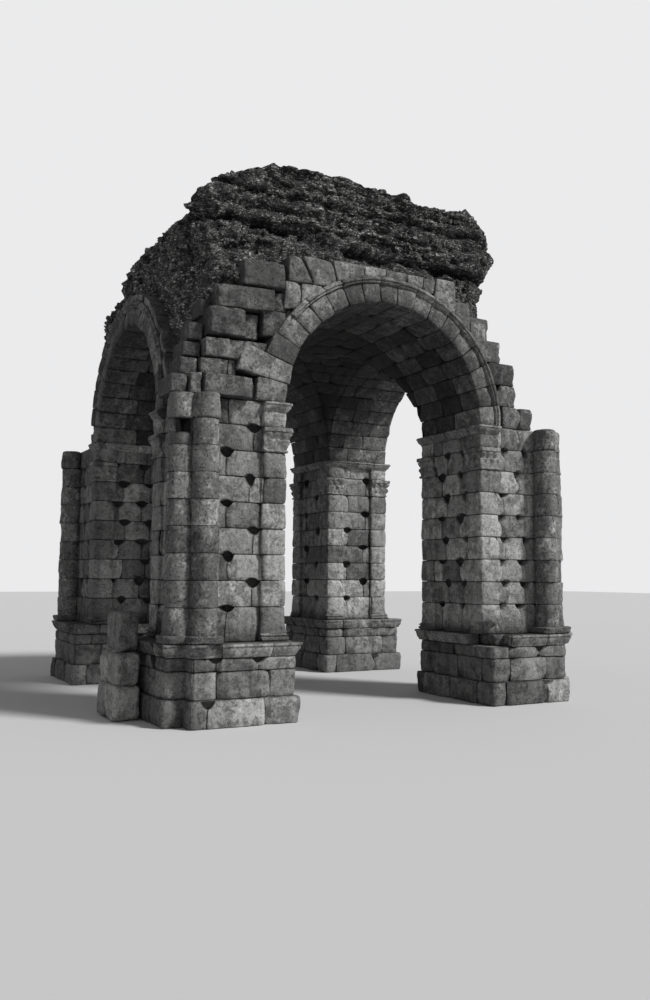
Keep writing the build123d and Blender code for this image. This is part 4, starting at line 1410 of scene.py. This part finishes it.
class Tree:
    """Short way to lay out nodes and link them."""

    def __init__(self, tree):
        self.tree = tree

    def node(self, kind, settings=None, **inputs):
        """Add a node, set its properties and fill its inputs, by name or as i0, i1, with values or links."""
        node = self.tree.nodes.new(kind)
        for key, value in (settings or {}).items():
            setattr(node, key, value)
        for key, value in inputs.items():
            socket = node.inputs[int(key[1:])] if key[0] == "i" and key[1:].isdigit() else node.inputs[key]
            if isinstance(value, bpy.types.NodeSocket):
                self.tree.links.new(value, socket)
            else:
                socket.default_value = value
        return node

    def math(self, operation, a, b=0.0, c=None, clamp=False):
        """Arithmetic on two or three values or links."""
        inputs = {"i0": a, "i1": b} if c is None else {"i0": a, "i1": b, "i2": c}
        return self.node("ShaderNodeMath", {"operation": operation, "use_clamp": clamp}, **inputs).outputs[0]

    def ramp(self, value, low, high):
        """Smooth step of a value between two limits."""
        fields = {"Value": value, "From Min": low, "From Max": high}
        return self.node("ShaderNodeMapRange", {"interpolation_type": "SMOOTHSTEP"}, **fields).outputs[0]

    def noise(self, vector, scale, detail=3.0, rough=0.55):
        """Noise of a scale in cycles per metre."""
        fields = {"Vector": vector, "Scale": scale, "Detail": detail, "Roughness": rough}
        return self.node("ShaderNodeTexNoise", None, **fields).outputs[0]

    def stretched(self, vector, scale):
        """Coordinates scaled by three factors."""
        return self.node("ShaderNodeMapping", {"vector_type": "POINT"}, Vector=vector, Scale=scale).outputs[0]

    def shared(self, title, **inputs):
        """Place a shared node group with its own values."""
        return self.node("ShaderNodeGroup", {"node_tree": bpy.data.node_groups[title]}, **inputs).outputs

    def weighed(self, level, masks):
        """Multiply a level by 1 + share x mask, for each mask and its share."""
        for mask, share in masks:
            level = self.math("MULTIPLY", level, self.math("MULTIPLY_ADD", mask, share, 1.0))
        return level

    def tinted(self, colour, level):
        """Colour made lighter or darker by a level."""
        return self.node("ShaderNodeVectorMath", {"operation": "SCALE"}, i0=colour, Scale=level).outputs[0]

    def surface(self, colour, height, strength, distance, roughness, specular):
        """Principled shader of a colour, bumped by a height, as the material's surface."""
        fields = {"Strength": strength, "Distance": distance, "Height": height}
        bumped = self.node("ShaderNodeBump", None, **fields).outputs[0]
        shader = self.node("ShaderNodeBsdfPrincipled", None, **{"Base Color": colour, "Normal": bumped})
        shader.inputs["Roughness"].default_value = roughness
        shader.inputs["Specular IOR Level"].default_value = specular
        self.node("ShaderNodeOutputMaterial", None, Surface=shader.outputs[0])

    def put(self, **values):
        """Link values to the named outputs of the group that this tree belongs to."""
        result = next(node for node in self.tree.nodes if node.bl_idname == "NodeGroupOutput")
        for name, value in values.items():
            self.tree.links.new(value, result.inputs[name])


def group(title, inputs, outputs):
    """New shader group with named sockets: its tree, and its given values. All its outputs are numbers."""
    tree = bpy.data.node_groups.new(title, "ShaderNodeTree")
    for name, kind, value in inputs:
        socket = tree.interface.new_socket(name, in_out="INPUT", socket_type=kind)
        if value is not None:
            socket.default_value = value
    for name in outputs:
        tree.interface.new_socket(name, in_out="OUTPUT", socket_type=FLOAT)
    nodes = Tree(tree)
    given = nodes.node("NodeGroupInput").outputs
    nodes.node("NodeGroupOutput")
    return nodes, given


def make_grain():
    """Granite grain: dark and pale crystals, and the pitted height they leave."""
    tree, given = group("Granite grain", [("Vector", VECTOR, None), ("Scale", FLOAT, 60.0)],
                        ["Value", "Height"])
    fine = tree.noise(given["Vector"], given["Scale"], 4.0, 0.65)
    coarse = tree.noise(given["Vector"], tree.math("MULTIPLY", given["Scale"], 0.22), 4.0, 0.6)
    value = tree.math("ADD", tree.math("MULTIPLY", fine, 0.55), tree.math("MULTIPLY", coarse, 0.45))
    tree.put(Value=tree.ramp(value, 0.3, 0.7), Height=value)


def make_lichen():
    """Lichen and weather stains: broad clouds, dark blotches, small dark spots and small pale ones."""
    tree, given = group("Lichen", [("Vector", VECTOR, None), ("Amount", FLOAT, 0.5)],
                        ["Broad", "Dark", "Spots", "Pale"])
    broad = tree.noise(given["Vector"], 1.1, 4.0, 0.6)
    blotch = tree.noise(given["Vector"], 4.6, 7.0, 0.74)
    shift = tree.math("MULTIPLY", given["Amount"], -0.12)
    mixed = tree.math("ADD", tree.math("MULTIPLY", broad, 0.35), tree.math("MULTIPLY", blotch, 0.65))
    dark = tree.ramp(tree.math("SUBTRACT", mixed, tree.math("ADD", shift, 0.575)), -0.03, 0.06)
    spots = tree.ramp(tree.noise(given["Vector"], 21.0, 4.0, 0.65), 0.52, 0.62)
    pale = tree.ramp(tree.noise(given["Vector"], 8.5, 6.0, 0.75), 0.54, 0.63)
    tree.put(Broad=tree.ramp(broad, 0.36, 0.64), Dark=dark, Spots=spots, Pale=pale)


def make_streaks():
    """Rain streaks: noise drawn out downwards."""
    tree, given = group("Rain streaks", [("Vector", VECTOR, None)], ["Mask"])
    drawn = tree.stretched(given["Vector"], (7.0, 7.0, 0.55))
    tree.put(Mask=tree.ramp(tree.noise(drawn, 1.0, 4.0, 0.6), 0.48, 0.68))


def make_wear():
    """Edge wear: the worn edge mask broken up by noise."""
    tree, given = group("Worn edges", [("Vector", VECTOR, None), ("Edge", FLOAT, 0.0)], ["Mask"])
    rough = tree.ramp(tree.noise(given["Vector"], 14.0, 3.0, 0.6), 0.38, 0.62)
    tree.put(Mask=tree.math("MULTIPLY", given["Edge"], rough))


def make_fragments():
    """Fragments of broken stone in mortar: flattened cells with their own tone, and dark seams between."""
    tree, given = group("Broken stone", [("Vector", VECTOR, None), ("Scale", FLOAT, 9.0)],
                        ["Tone", "Seam", "Height"])
    warp = tree.node("ShaderNodeTexNoise", {"noise_dimensions": "3D"}, Vector=given["Vector"], Scale=5.0)
    bent = tree.node("ShaderNodeVectorMath", {"operation": "MULTIPLY_ADD"}, i0=warp.outputs["Color"],
                     i1=(0.1, 0.1, 0.07), i2=given["Vector"])
    flat = tree.stretched(bent.outputs[0], (1.0, 1.0, 2.1))
    cells, edges = [tree.node("ShaderNodeTexVoronoi", {"feature": feature}, Vector=flat, Scale=given["Scale"])
                    for feature in ("F1", "DISTANCE_TO_EDGE")]
    tone = tree.node("ShaderNodeSeparateColor", None, i0=cells.outputs["Color"]).outputs[0]
    seam = tree.ramp(edges.outputs["Distance"], 0.13, 0.02)
    height = tree.math("SUBTRACT", tree.math("MULTIPLY", tone, 0.8), seam)
    tree.put(Tone=tone, Seam=seam, Height=height)


def new_finish(name):
    """New material with an empty tree: the tree, Object coordinates and the values held at each point."""
    material = bpy.data.materials.new(name)
    material.use_nodes = True
    material.node_tree.nodes.clear()
    tree = Tree(material.node_tree)
    place = tree.node("ShaderNodeTexCoord").outputs["Object"]
    read = {key: tree.node("ShaderNodeAttribute", {"attribute_name": key}).outputs["Fac"] for key in VALUES}
    return tree, place, read


def make_rubble(name, colour):
    """Mortared rubble: dark mortar, fragments of all tones with a few pale ones, and dark hollows."""
    tree, place, read = new_finish(name)
    large = tree.shared("Broken stone", Vector=place, Scale=7.5)
    small = tree.shared("Broken stone", Vector=place, Scale=17.0)
    grains = tree.shared("Granite grain", Vector=place, Scale=30.0)
    stains = tree.shared("Lichen", Vector=place, Amount=0.6)
    level = tree.math("MULTIPLY_ADD", tree.math("POWER", small["Tone"], 3.0), 3.0, 0.55)
    level = tree.math("ADD", level, tree.math("MULTIPLY", tree.math("POWER", large["Tone"], 4.0), 0.6))
    level = tree.math("ADD", level, tree.math("MULTIPLY", tree.math("POWER", read["tone"], 2.0), 0.7))
    level = tree.weighed(level, ((small["Seam"], -0.6), (large["Seam"], -0.35), (stains["Dark"], -0.5),
                                 (read["shade"], -0.85)))
    level = tree.math("MULTIPLY", level, tree.math("MULTIPLY_ADD", read["edge"], 0.5, 0.65))
    scaled = tree.tinted(colour, level)
    height = tree.math("ADD", tree.math("MULTIPLY", small["Height"], 0.8), large["Height"])
    height = tree.math("ADD", height, tree.math("MULTIPLY", grains["Height"], 0.5))
    tree.surface(scaled, height, strength=1.0, distance=0.035, roughness=0.95, specular=0.2)


def make_finish(name, colour, contrast, lichen, bump=1.0, darkness=0.0):
    """Weathered stone: colour by the stone's tone, darkened by lichen, streaks and joints, pale at edges."""
    tree, place, read = new_finish(name)
    grains = tree.shared("Granite grain", Vector=place, Scale=60.0)
    stains = tree.shared("Lichen", Vector=place, Amount=lichen)
    streaks = tree.shared("Rain streaks", Vector=place)
    worn = tree.shared("Worn edges", Vector=place, Edge=read["edge"])
    level = tree.math("MULTIPLY_ADD", read["tone"], contrast, 1 - contrast / 2 - darkness)
    level = tree.math("MULTIPLY", level, tree.math("MULTIPLY_ADD", grains["Value"], 0.5, 0.76))
    level = tree.weighed(level, ((stains["Broad"], 0.3), (stains["Dark"], -0.5),
                                 (stains["Spots"], -0.2 - 0.4 * lichen), (streaks["Mask"], -0.25),
                                 (stains["Pale"], 0.7 * lichen), (worn["Mask"], 0.15),
                                 (read["shade"], -0.85)))
    scaled = tree.tinted(colour, level)
    height = tree.math("MULTIPLY_ADD", stains["Dark"], -0.35, grains["Height"])
    coarse = tree.noise(place, 9.0, 5.0, 0.6)
    height = tree.math("ADD", height, tree.math("MULTIPLY", coarse, 1.1))
    tree.surface(scaled, height, strength=bump, distance=0.02, roughness=0.93, specular=0.25)


# Stage


# Camera of the photo: place in metres, turns in radians and focal length in pixels of its height

CAMERA_PLACE = (-8.998, -18.402, 2.453)
CAMERA_YAW = 0.4936
CAMERA_PITCH = 0.0864
CAMERA_ROLL = -0.0072
CAMERA_FOCUS = 892.3
PHOTO_HEIGHT = 1000
SENSOR = 36.0

FLOOR_REACH = 120.0
SUN_SIZE = math.radians(12)
SUN_TURN = (math.radians(46), 0, math.radians(38))


def add_floor(scene, colour):
    """Flat floor of one matt colour, kept out of the part."""
    corners = [(x * FLOOR_REACH, y * FLOOR_REACH, 0) for x, y in ((-1, -1), (1, -1), (1, 1), (-1, 1))]
    mesh = bpy.data.meshes.new("floor")
    mesh.from_pydata(corners, [], [(0, 1, 2, 3)])
    material = bpy.data.materials.new("floor")
    material.use_nodes = True
    shader = material.node_tree.nodes["Principled BSDF"]
    shader.inputs["Base Color"].default_value = (*colour, 1)
    shader.inputs["Roughness"].default_value = 0.95
    mesh.materials.append(material)
    floor = bpy.data.objects.new("floor", mesh)
    scene.collection.objects.link(floor)


def add_light(scene, look):
    """Soft main light from the front right, and a sky that lights evenly and shows as the background."""
    sun = bpy.data.lights.new("sun", "SUN")
    sun.energy = look.sun
    sun.angle = SUN_SIZE
    lamp = bpy.data.objects.new("sun", sun)
    lamp.rotation_euler = SUN_TURN
    scene.collection.objects.link(lamp)
    world = bpy.data.worlds.new("sky")
    world.use_nodes = True
    world.node_tree.nodes.clear()
    tree = Tree(world.node_tree)
    rays = tree.node("ShaderNodeLightPath").outputs
    seen = tree.math("ADD", tree.math("ADD", rays["Is Camera Ray"], rays["Is Glossy Ray"]),
                     rays["Is Transmission Ray"], clamp=True)
    lit = tree.node("ShaderNodeBackground", None, Color=(1, 1, 1, 1), Strength=look.fill).outputs[0]
    back = tree.node("ShaderNodeBackground", None, Color=(*look.background, 1), Strength=1.0).outputs[0]
    mixed = tree.node("ShaderNodeMixShader", None, i0=seen, i1=lit, i2=back).outputs[0]
    tree.node("ShaderNodeOutputWorld", None, Surface=mixed)
    scene.world = world
    scene.view_settings.view_transform = "Standard"


def add_camera(scene):
    """Camera at the photo's place, turned as it was."""
    lens = bpy.data.cameras.new("camera")
    lens.sensor_fit = "VERTICAL"
    lens.sensor_height = SENSOR
    lens.lens = CAMERA_FOCUS / PHOTO_HEIGHT * SENSOR
    lens.clip_end = 500
    camera = bpy.data.objects.new("camera", lens)
    camera.location = CAMERA_PLACE
    camera.rotation_mode = "XYZ"
    turn = Matrix.Rotation(-CAMERA_YAW, 3, "Z") @ Matrix.Rotation(math.pi / 2 + CAMERA_PITCH, 3, "X")
    turn = turn @ Matrix.Rotation(-CAMERA_ROLL, 3, "Z")
    camera.rotation_euler = turn.to_euler()
    scene.collection.objects.link(camera)
    scene.camera = camera


# Operators


class RUIN_OT_finishes(bpy.types.Operator):
    """Make the stone finishes and the node groups that they share"""

    bl_idname = "ruin.finishes"
    bl_label = "Stone finishes"

    def execute(self, context):
        look = context.scene.ruin_finishes
        squared, moulded, arch = tuple(look.squared), tuple(look.moulded), tuple(look.arch)
        make_grain()
        make_lichen()
        make_streaks()
        make_wear()
        make_finish("squared_granite", squared, contrast=1.0, lichen=0.5)
        make_finish("lichened_granite", squared, contrast=0.75, lichen=1.0, darkness=0.02)
        make_finish("weathered_granite", squared, contrast=0.7, lichen=0.9, darkness=0.5)
        make_finish("moulded_granite", moulded, contrast=0.5, lichen=0.6)
        make_finish("arch_granite", arch, contrast=0.8, lichen=0.8, darkness=0.2)
        # The vault's finish is darkened as painted shade
        make_finish("vault_granite", arch, contrast=0.25, lichen=0.5, bump=0.9, darkness=0.74)
        make_fragments()
        make_rubble("mortared_rubble", tuple(look.rubble))
        return {"FINISHED"}


def pier_operator(idname, label, text, build):
    """Operator that builds one kind of piece on all four piers."""

    def execute(self, context):
        for name, signs in SIGNS.items():
            build(name, signs, context.scene.ruin_stones)
        return {"FINISHED"}

    title = "RUIN_OT_" + idname.split(".")[1]
    return type(title, (bpy.types.Operator,), {"__doc__": text, "bl_idname": idname, "bl_label": label,
                                               "execute": execute})


PIER_OPERATORS = [
    pier_operator("ruin.plinths", "Plinths", "Lay the stones of the four plinths", build_plinth),
    pier_operator("ruin.plinth_caps", "Plinth caps", "Lay the moulded caps of the plinths", build_plinth_cap),
    pier_operator("ruin.shafts", "Pier shafts", "Lay the courses of the four pier shafts", build_shaft),
    pier_operator("ruin.bases", "Pilaster bases", "Set the feet of the pilasters", build_bases),
    pier_operator("ruin.capitals", "Pilaster capitals", "Set the leaf capitals", build_capitals),
    pier_operator("ruin.columns", "Corner columns", "Stack the drums of the corner columns", build_columns),
    pier_operator("ruin.imposts", "Imposts", "Lay the moulded course under the springing", build_impost),
    pier_operator("ruin.haunches", "Haunches", "Lay the stepped masonry over the piers", build_haunch),
]


class RUIN_OT_arches(bpy.types.Operator):
    """Set the voussoirs, archivolts and backing stones of the four arches"""

    bl_idname = "ruin.arches"
    bl_label = "Arches"

    def execute(self, context):
        for facade in FACADES:
            build_arch(facade, context.scene.ruin_stones)
        return {"FINISHED"}


class RUIN_OT_vault(bpy.types.Operator):
    """Lay the four webs of the groin vault"""

    bl_idname = "ruin.vault"
    bl_label = "Groin vault"

    def execute(self, context):
        for facade in FACADES:
            build_web(facade, context.scene.ruin_stones)
        return {"FINISHED"}


class RUIN_OT_core(bpy.types.Operator):
    """Cast the rubble core and its skin of small stones"""

    bl_idname = "ruin.core"
    bl_label = "Rubble core"

    def execute(self, context):
        build_core(context.scene.ruin_stones, context.scene.ruin_rubble)
        return {"FINISHED"}


class RUIN_OT_pedestals(bpy.types.Operator):
    """Set the remains of the two pedestals"""

    bl_idname = "ruin.pedestals"
    bl_label = "Pedestal remains"

    def execute(self, context):
        for name in ("front_left", "front_right"):
            build_pedestal(name, SIGNS[name], context.scene.ruin_stones)
        return {"FINISHED"}


class RUIN_OT_stage(bpy.types.Operator):
    """Lay the floor, set the soft light and place the camera"""

    bl_idname = "ruin.stage"
    bl_label = "Stage"

    def execute(self, context):
        look = context.scene.ruin_stage
        add_floor(context.scene, look.floor)
        add_light(context.scene, look)
        add_camera(context.scene)
        return {"FINISHED"}


class RUIN_PT_panel(bpy.types.Panel):
    """Sizes, finishes and the steps that build the ruin"""

    bl_idname = "RUIN_PT_panel"
    bl_label = "Ruined arch"
    bl_space_type = "VIEW_3D"
    bl_region_type = "UI"
    bl_category = "Ruin"

    def draw(self, context):
        for group_name in GROUPS:
            settings = getattr(context.scene, group_name)
            box = self.layout.box()
            for key in settings.__annotations__:
                box.prop(settings, key)
        for operator in OPERATORS:
            self.layout.operator(operator.bl_idname)


OPERATORS = [
    RUIN_OT_finishes, *PIER_OPERATORS, RUIN_OT_arches, RUIN_OT_vault, RUIN_OT_core, RUIN_OT_pedestals,
    RUIN_OT_stage,
]
GROUPS = {
    "ruin_stones": StoneSizes, "ruin_rubble": RubbleSizes, "ruin_finishes": Finishes, "ruin_stage": StageLook,
}


def register():
    """Register the classes and hang the settings on the scene."""
    for part in (*GROUPS.values(), *OPERATORS, RUIN_PT_panel):
        bpy.utils.register_class(part)
    for name, settings in GROUPS.items():
        setattr(bpy.types.Scene, name, bpy.props.PointerProperty(type=settings))


def unregister():
    """Take the settings off the scene and the classes out."""
    for name in GROUPS:
        delattr(bpy.types.Scene, name)
    for part in (RUIN_PT_panel, *reversed(OPERATORS), *reversed(GROUPS.values())):
        bpy.utils.unregister_class(part)


def main():
    """Build everything in order and write the two boxes."""
    register()
    for operator in OPERATORS:
        family, step = operator.bl_idname.split(".")
        getattr(getattr(bpy.ops, family), step)()


if __name__ == "__main__":
    main()
